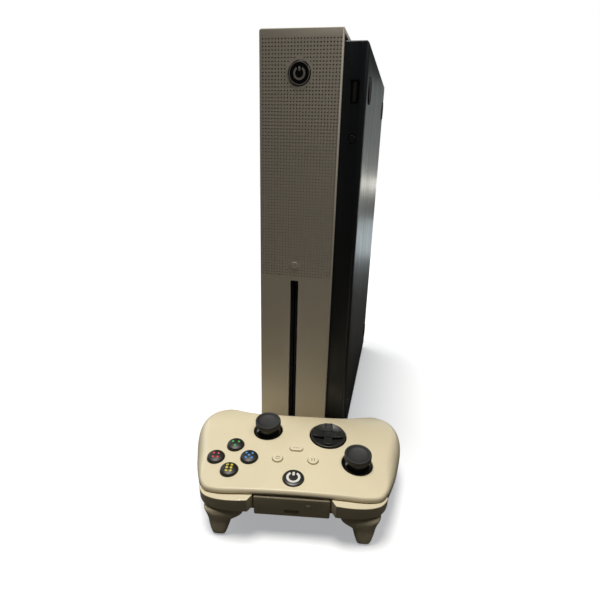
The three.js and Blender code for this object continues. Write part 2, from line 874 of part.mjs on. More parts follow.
function rumbleWeight(side) {
  const place = { x: side * motorPlace.x, y: motorPlace.y };
  const disc = upright(place, 7.6, -17.6, -13, 24);
  const half = box([place.x - 9, place.y - 9, -30], [place.x + 9, place.y - 1.6, 0]);
  return join(cut(disc, half), upright(place, 2.2, -18.6, -13, 12));
}

function caseScrew(place) {
  const reach = 3;
  const corners = [-1, 1].flatMap((a) => [-1, 1].map((b) => [place.x + a * reach, place.y + b * reach]));
  const heights = corners.map(([x, y]) => lowerHeight(x, y, edgeDistance(x, y)));
  const floor = Math.max(...heights) + wall + 1.4;
  return join(upright(place, 2.5, floor, floor + 1.6, 12), upright(place, 1.1, floor + 1, -14, 8));
}

addToPad("face_shell", faceShell(), cream);
addToPad("back_shell", backShell(), cream);
addToPad("battery_door", batteryDoor(), cream);
addToPad("bumper_bridge", bumperBridge(), cream);
addToPad("controller_sync_button", padSyncButton(), cream);
addToPad("controller_board", controllerBoard(), board);
addToPad("guide_button", guideButton(), glossBlack);
addToPad("dpad", directionPad(), glossBlack);
addToPad("dpad_pivot", upright(dishPlace, 3, boardTop + 0.7, -6.6, 16), darkGrey);
Object.entries(faceButtons).forEach(([name, place]) => addToPad(name, faceButton(place), glossBlack));
Object.entries(smallButtons).forEach(([name, place]) => addToPad(name, smallButton(place), cream));
battery.y.forEach((y, i) => addToPad(`battery_${i + 1}`, batteryCell(y), cell));
bossPlaces.forEach((place, i) => addToPad(`case_screw_${i + 1}`, caseScrew(place), steel));
[
  ["left", -1, leftStick],
  ["right", 1, rightStick],
].forEach(([name, side, place]) => {
  addToPad(`${name}_grip_panel`, lower.intersect(outside(side, splitX + gap / 2)), cream);
  addToPad(`${name}_bumper`, bumper(side), cream);
  addToPad(`${name}_trigger`, trigger(side), cream);
  addToPad(`${name}_stick`, stickCap(place), rubber);
  addToPad(`${name}_stick_rocker`, stickRocker(place), darkGrey);
  addToPad(`${name}_stick_carriage`, stickCarriage(place), darkGrey);
  addToPad(`${name}_stick_module`, stickModule(place), darkGrey);
  addToPad(`${name}_rumble_motor`, rumbleMotor(side), steel);
  addToPad(`${name}_rumble_weight`, rumbleWeight(side), steel);
});

const group = new THREE.Group();
group.add(consoleGroup, padGroup);

export default group;
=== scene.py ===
import math

import bmesh
import bpy
import numpy as np
from mathutils import Matrix, Vector
from mathutils.kdtree import KDTree


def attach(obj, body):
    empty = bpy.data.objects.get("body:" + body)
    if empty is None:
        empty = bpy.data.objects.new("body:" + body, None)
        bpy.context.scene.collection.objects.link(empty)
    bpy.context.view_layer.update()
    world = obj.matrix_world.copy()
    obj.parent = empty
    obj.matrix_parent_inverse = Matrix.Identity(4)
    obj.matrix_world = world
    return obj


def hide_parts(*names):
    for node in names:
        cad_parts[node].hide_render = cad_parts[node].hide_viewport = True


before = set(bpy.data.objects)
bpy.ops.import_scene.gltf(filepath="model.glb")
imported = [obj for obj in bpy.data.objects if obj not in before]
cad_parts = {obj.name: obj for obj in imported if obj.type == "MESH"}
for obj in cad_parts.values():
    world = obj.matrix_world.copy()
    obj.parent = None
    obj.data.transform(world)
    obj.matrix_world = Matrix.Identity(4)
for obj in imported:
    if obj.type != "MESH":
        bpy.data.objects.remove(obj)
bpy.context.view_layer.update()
print("frame loaded", len(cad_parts), "nodes")

mm = 0.001
toMetres = Matrix.Scale(mm, 4)
scene = bpy.context.scene
fullTurn = 2 * math.pi


def startMaterial(name):
    material = bpy.data.materials.new(name)
    material.use_nodes = True
    tree = material.node_tree
    return material, tree, tree.nodes["Principled BSDF"]


def noiseAt(tree, size, detail=2.0, stretch=(1, 1, 1), roughness=0.5):
    # noise with features of about this many millimetres
    place = tree.nodes.new("ShaderNodeTexCoord")
    turn = tree.nodes.new("ShaderNodeMapping")
    turn.inputs["Scale"].default_value = [1 / (size * mm * s) for s in stretch]
    noise = tree.nodes.new("ShaderNodeTexNoise")
    noise.inputs["Scale"].default_value = 1.0
    noise.inputs["Detail"].default_value = detail
    noise.inputs["Roughness"].default_value = roughness
    tree.links.new(place.outputs["Object"], turn.inputs["Vector"])
    tree.links.new(turn.outputs["Vector"], noise.inputs["Vector"])
    return noise.outputs["Fac"]


def dotsAt(tree, size):
    # raised dots with this pitch in millimetres
    place = tree.nodes.new("ShaderNodeTexCoord")
    turn = tree.nodes.new("ShaderNodeMapping")
    turn.inputs["Scale"].default_value = [1 / (size * mm)] * 3
    cells = tree.nodes.new("ShaderNodeTexVoronoi")
    cells.inputs["Scale"].default_value = 1.0
    cells.inputs["Randomness"].default_value = 0.25
    tree.links.new(place.outputs["Object"], turn.inputs["Vector"])
    tree.links.new(turn.outputs["Vector"], cells.inputs["Vector"])
    return spread(tree, cells.outputs["Distance"], 0.15, 0.5, 1.0, 0.0)


def spread(tree, value, low, high, toLow, toHigh):
    node = tree.nodes.new("ShaderNodeMapRange")
    for socket, number in zip(("From Min", "From Max", "To Min", "To Max"), (low, high, toLow, toHigh)):
        node.inputs[socket].default_value = number
    tree.links.new(value, node.inputs["Value"])
    return node.outputs["Result"]


def tones(tree, value, stops):
    ramp = tree.nodes.new("ShaderNodeValToRGB")
    first, last = ramp.color_ramp.elements[0], ramp.color_ramp.elements[1]
    first.position, first.color = stops[0][0], (*stops[0][1], 1)
    last.position, last.color = stops[-1][0], (*stops[-1][1], 1)
    for position, colour in stops[1:-1]:
        ramp.color_ramp.elements.new(position).color = (*colour, 1)
    tree.links.new(value, ramp.inputs["Fac"])
    return ramp.outputs["Color"]


def surfaceBump(tree, bsdf, layers):
    # layers are (height value, depth in millimetres)
    last = None
    for value, depth in layers:
        bump = tree.nodes.new("ShaderNodeBump")
        bump.inputs["Distance"].default_value = depth * mm
        bump.inputs["Strength"].default_value = 1.0
        tree.links.new(value, bump.inputs["Height"])
        if last is not None:
            tree.links.new(last, bump.inputs["Normal"])
        last = bump.outputs["Normal"]
    tree.links.new(last, bsdf.inputs["Normal"])


def darker(colour, share):
    return tuple(c * share for c in colour)


def moulded(name, colour, rough, grain=0.35, depth=0.012, swing=0.06, cloud=26, tint=0.93, dots=None,
            coat=0.0, metal=0.0, stretch=(1, 1, 1), streak=None):
    # moulded plastic or rubber: slow colour drift, fine grain, handled patches in the gloss
    material, tree, bsdf = startMaterial(name)
    drift = noiseAt(tree, cloud, 3.0, roughness=0.6)
    bsdf.inputs["Metallic"].default_value = metal
    bsdf.inputs["Coat Weight"].default_value = coat
    bsdf.inputs["Coat Roughness"].default_value = 0.08
    colourOut = tones(tree, drift, [(0.3, darker(colour, tint)), (0.72, colour)])
    tree.links.new(colourOut, bsdf.inputs["Base Color"])
    patches = noiseAt(tree, 9, 4.0, stretch if streak is None else streak, 0.65)
    tree.links.new(spread(tree, patches, 0.3, 0.7, rough - swing, rough + swing),
                   bsdf.inputs["Roughness"])
    layers = [(noiseAt(tree, grain, 2.0, stretch), depth)]
    if dots:
        layers.append((dotsAt(tree, dots), 0.09))
    surfaceBump(tree, bsdf, layers)
    return material


finishes = {
    "white": ((0.76, 0.70, 0.60), 0.42),
    "cream": ((0.79, 0.705, 0.50), 0.36),
    "black": ((0.013, 0.0165, 0.021), 0.38),
    "gloss": ((0.0075, 0.008, 0.0085), 0.13),
    "rubber": ((0.021, 0.022, 0.022), 0.62),
    "dark": ((0.03, 0.031, 0.033), 0.5),
}

whitePlastic = moulded("whiteConsolePlastic", *finishes["white"], grain=0.3, depth=0.010, cloud=60,
                       tint=0.95)
creamPlastic = moulded("creamPadPlastic", *finishes["cream"], grain=0.22, depth=0.008, cloud=34,
                       tint=0.955)
creamGrip = moulded("creamGripTexture", *finishes["cream"], grain=0.3, depth=0.01, dots=1.15, cloud=30,
                    tint=0.94)
creamGloss = moulded("creamBumperGloss", *finishes["cream"], grain=0.9, depth=0.004, swing=0.04,
                     cloud=30, coat=0.25)
blackPlastic = moulded("blackBasePlastic", *finishes["black"], grain=0.45, depth=0.02, swing=0.10,
                       cloud=22, tint=0.75, streak=(0.35, 0.35, 9))
darkPlastic = moulded("darkInnerPlastic", *finishes["dark"], grain=0.5, depth=0.02, cloud=15, tint=0.8)
glossBlack = moulded("glossBlackCap", *finishes["gloss"], grain=1.6, depth=0.003, swing=0.04, cloud=12,
                     tint=0.8, coat=0.6)
stickRubber = moulded("stickRubber", *finishes["rubber"], grain=0.22, depth=0.03, cloud=8, tint=0.7)
stickPlastic = moulded("stickSkirtPlastic", *finishes["gloss"], grain=0.8, depth=0.004, swing=0.05,
                       cloud=10, tint=0.8, coat=0.3)
feetRubber = moulded("feetRubber", *finishes["rubber"], grain=0.4, depth=0.04, cloud=6, tint=0.7)
keyBlack = moulded("keyCapBlack", (0.009, 0.0095, 0.0095), 0.44, grain=0.7, depth=0.004, swing=0.05,
                   cloud=9, tint=0.8)
dishBlack = moulded("dishSatinBlack", (0.016, 0.017, 0.016), 0.36, grain=0.5, depth=0.006, swing=0.06,
                    cloud=9, tint=0.8)
guideGrey = moulded("guideDiscGrey", (0.022, 0.021, 0.018), 0.32, grain=0.6, depth=0.005, swing=0.05,
                    cloud=7, tint=0.8)
felt = moulded("slotFelt", (0.006, 0.007, 0.011), 0.95, grain=0.12, depth=0.05, cloud=4, tint=0.6)
printGrey = moulded("printGrey", (0.20, 0.19, 0.175), 0.5, grain=0.2, depth=0.004, cloud=3)
markWhite = moulded("markWhite", (0.80, 0.79, 0.75), 0.3, grain=0.3, depth=0.004, cloud=6)
markSilver = moulded("markSilver", (0.42, 0.40, 0.37), 0.35, grain=0.3, depth=0.004, cloud=6)
ringMetal = moulded("ringSatin", (0.36, 0.34, 0.31), 0.33, grain=0.2, depth=0.004, cloud=5)
socketMetal = moulded("socketMetal", (0.52, 0.52, 0.53), 0.3, grain=0.5, depth=0.006, metal=1.0, cloud=8)
steel = moulded("steelParts", (0.46, 0.46, 0.47), 0.32, grain=0.3, depth=0.008, metal=1.0, cloud=9,
                streak=(8, 0.4, 0.4))
alloy = moulded("lightAlloy", (0.62, 0.63, 0.64), 0.36, grain=0.3, depth=0.01, metal=1.0, cloud=9,
                streak=(0.4, 8, 0.4))
cellWrap = moulded("cellWrap", (0.13, 0.135, 0.145), 0.3, grain=0.6, depth=0.006, cloud=12, coat=0.4)
inkColours = {
    "green": (0.06, 0.42, 0.07),
    "red": (0.60, 0.035, 0.03),
    "blue": (0.05, 0.26, 0.62),
    "yellow": (0.70, 0.56, 0.03),
}
inks = {k: moulded(k + "Ink", c, 0.4, grain=0.4, depth=0.003, cloud=2) for k, c in inkColours.items()}


def boardMaterial():
    # green solder mask with thin copper runs under it
    material, tree, bsdf = startMaterial("circuitBoardMask")
    runs = noiseAt(tree, 2.6, 0.0, (1, 6, 1))
    cross = noiseAt(tree, 2.2, 0.0, (1, 1, 6))
    both = tree.nodes.new("ShaderNodeMath")
    both.operation = "MAXIMUM"
    tree.links.new(runs, both.inputs[0])
    tree.links.new(cross, both.inputs[1])
    stops = [(0.46, (0.008, 0.045, 0.022)), (0.6, (0.02, 0.11, 0.05)), (0.66, (0.10, 0.16, 0.06))]
    # the socket shells stand behind the board's parts face
    place = tree.nodes.new("ShaderNodeTexCoord")
    parts = tree.nodes.new("ShaderNodeSeparateXYZ")
    tree.links.new(place.outputs["Object"], parts.inputs[0])
    tests = []
    for axis, operation, limit in (("Y", "GREATER_THAN", 96.9), ("X", "LESS_THAN", 11.9)):
        test = tree.nodes.new("ShaderNodeMath")
        test.operation = operation
        test.inputs[1].default_value = limit * mm
        tree.links.new(parts.outputs[axis], test.inputs[0])
        tests.append(test)
    shell = tree.nodes.new("ShaderNodeMath")
    shell.operation = "MULTIPLY"
    tree.links.new(tests[0].outputs[0], shell.inputs[0])
    tree.links.new(tests[1].outputs[0], shell.inputs[1])
    mix = tree.nodes.new("ShaderNodeMix")
    mix.data_type = "RGBA"
    mix.inputs["B"].default_value = (0.5, 0.5, 0.51, 1)
    tree.links.new(shell.outputs[0], mix.inputs["Factor"])
    tree.links.new(tones(tree, both.outputs[0], stops), mix.inputs["A"])
    tree.links.new(mix.outputs["Result"], bsdf.inputs["Base Color"])
    tree.links.new(shell.outputs[0], bsdf.inputs["Metallic"])
    tree.links.new(spread(tree, runs, 0.3, 0.7, 0.35, 0.5), bsdf.inputs["Roughness"])
    surfaceBump(tree, bsdf, [(both.outputs[0], 0.03)])
    return material


circuitBoard = boardMaterial()
print("materials made", len(bpy.data.materials))


def addPiece(name, bm, material, body, hides=(), crease=32, place=toMetres):
    bmesh.ops.transform(bm, matrix=place, verts=bm.verts)
    limit = math.radians(crease)
    for surface in bm.faces:
        surface.smooth = True
    for edge in bm.edges:
        if len(edge.link_faces) == 2:
            edge.smooth = edge.calc_face_angle(0) < limit
    mesh = bpy.data.meshes.new(name)
    bm.to_mesh(mesh)
    bm.free()
    mesh.materials.append(material)
    item = bpy.data.objects.new(name, mesh)
    scene.collection.objects.link(item)
    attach(item, body)
    if hides:
        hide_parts(*hides)
    return item


def merged(*shapes):
    # several closed shapes in one bmesh, without cutting them
    whole = shapes[0]
    for shape in shapes[1:]:
        mesh = bpy.data.meshes.new("part")
        shape.to_mesh(mesh)
        shape.free()
        whole.from_mesh(mesh)
        bpy.data.meshes.remove(mesh)
    return whole


def carve(blank, cutter, operation="DIFFERENCE"):
    held = []
    for shape in (blank, cutter):
        mesh = bpy.data.meshes.new("carving")
        shape.to_mesh(mesh)
        shape.free()
        item = bpy.data.objects.new("carving", mesh)
        scene.collection.objects.link(item)
        held.append(item)
    modifier = held[0].modifiers.new("carve", "BOOLEAN")
    modifier.operation = operation
    modifier.solver = "MANIFOLD"
    modifier.object = held[1]
    graph = bpy.context.evaluated_depsgraph_get()
    result = bmesh.new()
    result.from_mesh(held[0].evaluated_get(graph).to_mesh())
    for item in held:
        mesh = item.data
        bpy.data.objects.remove(item)
        bpy.data.meshes.remove(mesh)
    return result


def bevelEdges(bm, edges, offset, segments=3):
    bmesh.ops.bevel(
        bm, geom=list(edges), offset=offset, offset_type="OFFSET", segments=segments,
        profile=0.5, affect="EDGES", material=-1, clamp_overlap=True,
    )
    return bm


def block(low, high, offset=0.0, segments=3, pick=None):
    bm = bmesh.new()
    bmesh.ops.create_cube(bm, size=1)
    size = Vector(high) - Vector(low)
    bmesh.ops.scale(bm, vec=size, verts=bm.verts)
    bmesh.ops.translate(bm, vec=Vector(low) + size / 2, verts=bm.verts)
    if offset:
        bevelEdges(bm, [e for e in bm.edges if pick is None or pick(e)], offset, segments)
    return bm


def runsAlong(axis, least=1):
    # picks the edges that run along one axis
    index = "xyz".index(axis)
    return lambda e: abs(e.verts[0].co[index] - e.verts[1].co[index]) > least


quarter = {
    "x": Matrix.Rotation(math.pi / 2, 4, "Y"),
    "y": Matrix.Rotation(-math.pi / 2, 4, "X"),
    "z": Matrix.Identity(4),
}


def turned(profile, centre=(0, 0, 0), axis="z", steps=64):
    # profile is (radius, height) pairs from the axis back to the axis
    bm = bmesh.new()
    ring = [bm.verts.new((radius, 0, height)) for radius, height in profile]
    edges = [bm.edges.new(pair) for pair in zip(ring, ring[1:])]
    bmesh.ops.spin(
        bm, geom=ring + edges, axis=(0, 0, 1), cent=(0, 0, 0), angle=fullTurn, steps=steps,
        use_merge=True,
    )
    bmesh.ops.remove_doubles(bm, verts=bm.verts, dist=1e-5)
    bmesh.ops.recalc_face_normals(bm, faces=bm.faces)
    bmesh.ops.transform(bm, matrix=Matrix.Translation(centre) @ quarter[axis], verts=bm.verts)
    return bm


def prism(points, start, end, axis="z"):
    # a closed outline pushed from one height to another
    bm = bmesh.new()
    ring = [bm.verts.new((a, b, start)) for a, b in points]
    bottom = bm.faces.new(ring)
    pushed = bmesh.ops.extrude_face_region(bm, geom=[bottom])
    raised = [v for v in pushed["geom"] if isinstance(v, bmesh.types.BMVert)]
    bmesh.ops.translate(bm, vec=(0, 0, end - start), verts=raised)
    if axis == "x":
        onItsSide = Matrix(((0, 0, 1, 0), (1, 0, 0, 0), (0, 1, 0, 0), (0, 0, 0, 1)))
        bmesh.ops.transform(bm, matrix=onItsSide, verts=bm.verts)
    bmesh.ops.recalc_face_normals(bm, faces=bm.faces)
    return bm


def arcProfile(radius, height, rounding, start, end, steps=5):
    # a rounded corner whose circle is centred at (radius, height)
    points = []
    for i in range(steps + 1):
        angle = math.radians(start + (end - start) * i / steps)
        points.append((radius + rounding * math.cos(angle), height + rounding * math.sin(angle)))
    return points


def smoothThrough(points, samples, closed=True):
    # a curve through every point, spaced by the square root of the distance
    count = len(points)
    spots = [Vector(p) for p in points]
    if not closed:
        spots = [2 * spots[0] - spots[1], *spots, 2 * spots[-1] - spots[-2]]
    spans = count if closed else count - 1
    curve = []
    for i in range(samples + 1):
        along = spans * i / samples
        whole = min(int(along), spans - 1)
        w = along - whole
        if closed:
            a, b, c, d = [spots[(whole + k) % count] for k in (-1, 0, 1, 2)]
        else:
            a, b, c, d = [spots[whole + k] for k in (0, 1, 2, 3)]
        ab, bc, cd = [max((q - p).length, 1e-6) ** 0.5 for p, q in ((a, b), (b, c), (c, d))]
        leave = ((b - a) / ab - (c - a) / (ab + bc) + (c - b) / bc) * bc
        arrive = ((c - b) / bc - (d - b) / (bc + cd) + (d - c) / cd) * bc
        curve.append(b + leave * w + (3 * (c - b) - 2 * leave - arrive) * w**2
                     + (2 * (b - c) + leave + arrive) * w**3)
    return curve


view = {
    "place": (57.75, -416.68, 231.97),
    "yaw": -11.405,
    "down": 21.498,
    "roll": 1.534,
    "focal": 457.54,
    "frame": 600,
    "lower": 25,
}


def addCamera():
    yaw, down, roll = [math.radians(view[k]) for k in ("yaw", "down", "roll")]
    ahead = Vector((math.sin(yaw) * math.cos(down), math.cos(yaw) * math.cos(down), -math.sin(down)))
    right = Vector((math.cos(yaw), -math.sin(yaw), 0))
    up = right.cross(ahead)
    across = right * math.cos(roll) + up * math.sin(roll)
    upright = -right * math.sin(roll) + up * math.cos(roll)
    camera = bpy.data.objects.new("camera", bpy.data.cameras.new("camera"))
    camera.data.sensor_width = 36
    camera.data.lens = view["focal"] / view["frame"] * 36
    camera.data.shift_y = view["lower"] / view["frame"]
    camera.data.clip_start = 0.01
    turn = Matrix((across, upright, -ahead)).transposed().to_4x4()
    camera.matrix_world = Matrix.Translation(Vector(view["place"]) * mm) @ turn
    scene.collection.objects.link(camera)
    scene.camera = camera


addCamera()

light = {
    "sky": 0.02,
    "sun": 2.75,
    "sunSpread": 22,
    "sunFrom": (-0.12, 0.0, 1.0),
    "floorSeen": (0.74, 0.76, 0.79),
    "floorGlow": (0.36, 0.365, 0.375),
    "floorBounce": (0.06, 0.056, 0.05),
}


def addSun():
    lamp = bpy.data.lights.new("softSun", "SUN")
    lamp.energy = light["sun"]
    lamp.angle = math.radians(light["sunSpread"])
    lamp.color = (1.0, 0.965, 0.90)
    item = bpy.data.objects.new("softSun", lamp)
    item.rotation_euler = Vector(light["sunFrom"]).to_track_quat("Z", "Y").to_euler()
    scene.collection.objects.link(item)


def addPanel(name, place, target, width, height, power, colour):
    lamp = bpy.data.lights.new(name, "AREA")
    lamp.shape = "RECTANGLE"
    lamp.size, lamp.size_y = width, height
    lamp.energy = power
    lamp.color = colour
    item = bpy.data.objects.new(name, lamp)
    away = Vector(place) - Vector(target)
    item.matrix_world = Matrix.Translation(place) @ away.to_track_quat("Z", "Y").to_matrix().to_4x4()
    item.visible_camera = False
    scene.collection.objects.link(item)


def addWorld():
    world = bpy.data.worlds.new("studio")
    scene.world = world
    world.use_nodes = True
    tree = world.node_tree
    tree.nodes.clear()
    output = tree.nodes.new("ShaderNodeOutputWorld")
    mixer = tree.nodes.new("ShaderNodeMixShader")
    seen = tree.nodes.new("ShaderNodeBackground")
    soft = tree.nodes.new("ShaderNodeBackground")
    path = tree.nodes.new("ShaderNodeLightPath")
    seen.inputs["Color"].default_value = (1, 1, 1, 1)
    soft.inputs["Color"].default_value = (1.0, 0.95, 0.87, 1)
    soft.inputs["Strength"].default_value = light["sky"]
    tree.links.new(path.outputs["Is Camera Ray"], mixer.inputs["Fac"])
    tree.links.new(soft.outputs[0], mixer.inputs[1])
    tree.links.new(seen.outputs[0], mixer.inputs[2])
    tree.links.new(mixer.outputs[0], output.inputs["Surface"])


def addFloor():
    bm = bmesh.new()
    bmesh.ops.create_grid(bm, x_segments=4, y_segments=4, size=14)
    mesh = bpy.data.meshes.new("floor")
    bm.to_mesh(mesh)
    bm.free()
    floor = bpy.data.objects.new("floor", mesh)
    material = bpy.data.materials.new("paleFloor")
    material.use_nodes = True
    tree = material.node_tree
    tree.nodes.clear()
    output = tree.nodes.new("ShaderNodeOutputMaterial")
    mixer = tree.nodes.new("ShaderNodeMixShader")
    path = tree.nodes.new("ShaderNodeLightPath")
    pale = tree.nodes.new("ShaderNodeBsdfDiffuse")
    dim = tree.nodes.new("ShaderNodeBsdfDiffuse")
    glow = tree.nodes.new("ShaderNodeEmission")
    bright = tree.nodes.new("ShaderNodeAddShader")
    pale.inputs["Color"].default_value = (*light["floorSeen"], 1)
    glow.inputs["Color"].default_value = (*light["floorGlow"], 1)
    dim.inputs["Color"].default_value = (*light["floorBounce"], 1)
    tree.links.new(pale.outputs[0], bright.inputs[0])
    tree.links.new(glow.outputs[0], bright.inputs[1])
    tree.links.new(path.outputs["Is Camera Ray"], mixer.inputs["Fac"])
    tree.links.new(dim.outputs[0], mixer.inputs[1])
    tree.links.new(bright.outputs[0], mixer.inputs[2])
    tree.links.new(mixer.outputs[0], output.inputs["Surface"])
    mesh.materials.append(material)
    scene.collection.objects.link(floor)


scene.view_settings.view_transform = "Standard"
addWorld()
addSun()
addFloor()
addPanel("nearTop", (0.19, -0.17, 0.42), (0.0, -0.1, 0.27), 0.1, 0.1, 0.24, (1.0, 0.97, 0.92))
addPanel("rearLeft", (-1.3, 0.7, 0.7), (0.0, 0.0, 0.15), 1.0, 1.0, 6.0, (0.88, 0.95, 1.0))
# strips behind, seen only in the sheen of the black side: height, tall, power, colour
strips = [
    (0.160, 0.022, 0.14, (1.0, 0.97, 0.87)),
    (0.046, 0.08, 0.22, (0.84, 0.96, 1.0)),
    (0.245, 0.22, 0.15, (0.92, 1.0, 0.98)),
]
for i, (height, tall, watts, colour) in enumerate(strips):
    addPanel(f"backStrip{i + 1}", (0.28, 0.5 + 0.01 * i, height), (0.03, -0.05, height), 0.5, tall,
             watts, colour)
print("camera, light and floor made")


console = {
    "white": -32.5,
    "split": 17.9,
    "base": 32.5,
    "front": -115.0,
    "rear": 115.0,
    "top": 295.0,
    "wall": 2.2,
    "gap": 0.3,
    "corner": 1.5,
}
power = {"x": -7.6, "z": 271.6, "radius": 6.6, "clear": 1.9}
eject = {"x": -8.2, "z": 154.2, "radius": 2.7, "clear": 1.5}
pairing = {"x": 25.2, "z": 236.0, "radius": 2.3}
frontLip = {"start": 15.4, "back": 4.6, "inset": 2.5}
slotHole = {"x": -8.0, "z": 81.0, "width": 5.8, "length": 125.0}
dots = {"pitch": 1.95, "radius": 0.49, "depth": 1.6, "proud": 0.3, "left": -30.25, "right": 16.7,
        "low": 147.25, "high": 289.7}
dotDepth = dots["depth"] + 2 * dots["proud"]
sideDots = {"low": 149.35, "high": 287.6, "front": -108.0, "rear": 108.5, "clear": 3.2, "topRight": 14.0}
ventHole = {"y": 4.0, "z": 217.0, "radius": 52.0, "pitch": 8.0, "slit": 4.0, "shortest": 10.0}


def countUp(start, end, step):
    return [start + step * i for i in range(int((end - start) / step + 1e-6) + 1)]


def pins(rows, axis, depth, sides=8, radius=None):
    # many small bars in one bmesh; rows are lists of their middles
    whole = bmesh.new()
    turn = Matrix.Rotation(math.pi / sides, 4, "Z")
    for row in rows:
        line = bmesh.new()
        for middle in row:
            bmesh.ops.create_cone(
                line, cap_ends=True, segments=sides, radius1=radius or dots["radius"],
                radius2=radius or dots["radius"], depth=depth,
                matrix=Matrix.Translation(middle) @ quarter[axis] @ turn,
            )
        whole = merged(whole, line)
    return whole


def isWhiteCorner(e):
    # the two long corners on the white side
    a, b = [v.co for v in e.verts]
    return all(abs(c.x - console["white"]) < 0.01 for c in (a, b)) and abs(a.z - b.z) < 0.01


def standOnFront(bm, x, z, face):
    # turns a shape made upright so that it faces the front
    turn = Matrix.Rotation(math.pi / 2, 4, "X")
    bmesh.ops.transform(bm, matrix=Matrix.Translation((x, face, z)) @ turn, verts=bm.verts)
    return bm


def flaredHole(x, z, radius, flare, face=None):
    # a round cutter along Y whose mouth is rounded where it meets the front
    face = console["front"] if face is None else face
    profile = [(0, -12), (radius, -12), (radius, -flare), (radius + 0.3 * flare, -0.3 * flare),
               (radius + flare + 0.25, 0.25), (radius + flare + 0.25, 4), (0, 4)]
    return standOnFront(turned(profile, steps=48), x, z, face)


def frontPlate():
    front, wall = console["front"], console["wall"]
    low, high = (console["white"], front, 0), (console["split"], front + wall, console["top"])

    bm = block(low, high, console["corner"], 4, isWhiteCorner)
    rimEdges = [e for e in bm.edges if all(abs(v.co.y - front) < 0.01 for v in e.verts)]
    bevelEdges(bm, rimEdges, 0.5, 3)
    lipTop = console["top"] - frontLip["inset"]
    lip = block((frontLip["start"], front + 1, frontLip["inset"]),
                (console["split"], front + frontLip["back"], lipTop), 0.2, 2)
    bm = carve(bm, lip, "UNION")
    half, reach = slotHole["width"] / 2, slotHole["length"] / 2
    x, z = slotHole["x"], slotHole["z"]
    mouth = block((x - half, front - 2, z - reach), (x + half, front + 6, z + reach), 0.7, 3,
                  runsAlong("y"))
    bm = carve(bm, merged(mouth, flaredHole(power["x"], power["z"], power["radius"] + 0.3, 0.35),
                          flaredHole(eject["x"], eject["z"], eject["radius"] + 0.3, 0.25)))
    rows = []
    for z in countUp(dots["low"], dots["high"], dots["pitch"]):
        row = []
        for x in countUp(dots["left"], dots["right"], dots["pitch"]):
            clearPower = math.hypot(x - power["x"], z - power["z"]) > power["radius"] + power["clear"]
            clearEject = math.hypot(x - eject["x"], z - eject["z"]) > eject["radius"] + eject["clear"]
            if clearPower and clearEject:
                row.append((x, front + dots["depth"] / 2 - dots["proud"], z))
        rows.append(row)
    return carve(bm, pins(rows, "y", dotDepth))


addPiece("frontPlate", frontPlate(), whitePlastic, "console", ["front_fascia"])
print("front plate made")


def whiteWrap():
    wall, gap = console["wall"], console["gap"]
    start = console["front"] + wall + gap
    low, high = (console["white"], start, 0), (console["split"], console["rear"], console["top"])

    bm = block(low, high, console["corner"], 4, isWhiteCorner)
    hollow = block((console["white"] + wall, start - 1, wall),
                   (console["split"] + 1, console["rear"] + 1, console["top"] - wall))
    bm = carve(bm, hollow)
    slits = bmesh.new()
    for across in countUp(-ventHole["radius"] + ventHole["slit"], ventHole["radius"], ventHole["pitch"]):
        half = math.sqrt(max(0, ventHole["radius"] ** 2 - across**2))
        if half > ventHole["shortest"]:
            y = ventHole["y"] + across
            slitLow = (console["white"] - 1, y - ventHole["slit"] / 2, ventHole["z"] - half)
            slitHigh = (console["white"] + wall + 1, y + ventHole["slit"] / 2, ventHole["z"] + half)
            slit = block(slitLow, slitHigh, 1.2, 3, runsAlong("x"))
            slits = merged(slits, slit)
    return carve(bm, slits)


def sideRows(yLow, yHigh):
    rows = []
    for z in countUp(sideDots["low"], sideDots["high"], dots["pitch"]):
        row = []
        for y in countUp(sideDots["front"], sideDots["rear"], dots["pitch"]):
            fromVent = math.hypot(y - ventHole["y"], z - ventHole["z"])
            if fromVent > ventHole["radius"] + sideDots["clear"] and yLow <= y < yHigh:
                row.append((console["white"] + dots["depth"] / 2 - dots["proud"], y, z))
        rows.append(row)
    return rows


def endRows():
    z = console["top"] - dots["depth"] / 2 + dots["proud"]
    across = countUp(dots["left"] + dots["pitch"], sideDots["topRight"], dots["pitch"])
    along = countUp(sideDots["front"], sideDots["rear"], dots["pitch"])
    return [[(x, y, z) for x in across] for y in along]


def splitWrap():
    # the wrap in three closed pieces that meet without a gap
    whole = whiteWrap()
    copies = [whole, whole.copy(), whole.copy()]
    far, cut = 400, 145.0
    lowHalf = block((-far, -far, -far), (far, far, cut))
    frontHalf = block((-far, -far, cut), (far, ventHole["y"], far))
    rearHalf = block((-far, ventHole["y"], cut), (far, far, far))
    return [carve(c, cutter, "INTERSECT") for c, cutter in zip(copies, (lowHalf, frontHalf, rearHalf))]


lowWrap, frontWrap, rearWrap = splitWrap()
splitY = ventHole["y"]
frontEnd = [[p for p in row if p[1] < splitY - 1] for row in endRows()]
rearEnd = [[p for p in row if p[1] > splitY + 1] for row in endRows()]
frontWrap = carve(frontWrap, pins(sideRows(-200, splitY - 1), "x", dotDepth, 6))
frontWrap = carve(frontWrap, pins([row for row in frontEnd if row], "z", dotDepth, 6))
rearWrap = carve(rearWrap, pins(sideRows(splitY + 1, 200), "x", dotDepth, 6))
rearWrap = carve(rearWrap, pins([row for row in rearEnd if row], "z", dotDepth, 6))
addPiece("whiteWrapLow", lowWrap, whitePlastic, "console", ["outer_shell"])
addPiece("whiteWrapFront", frontWrap, whitePlastic, "console")
addPiece("whiteWrapRear", rearWrap, whitePlastic, "console")
print("white wrap made")

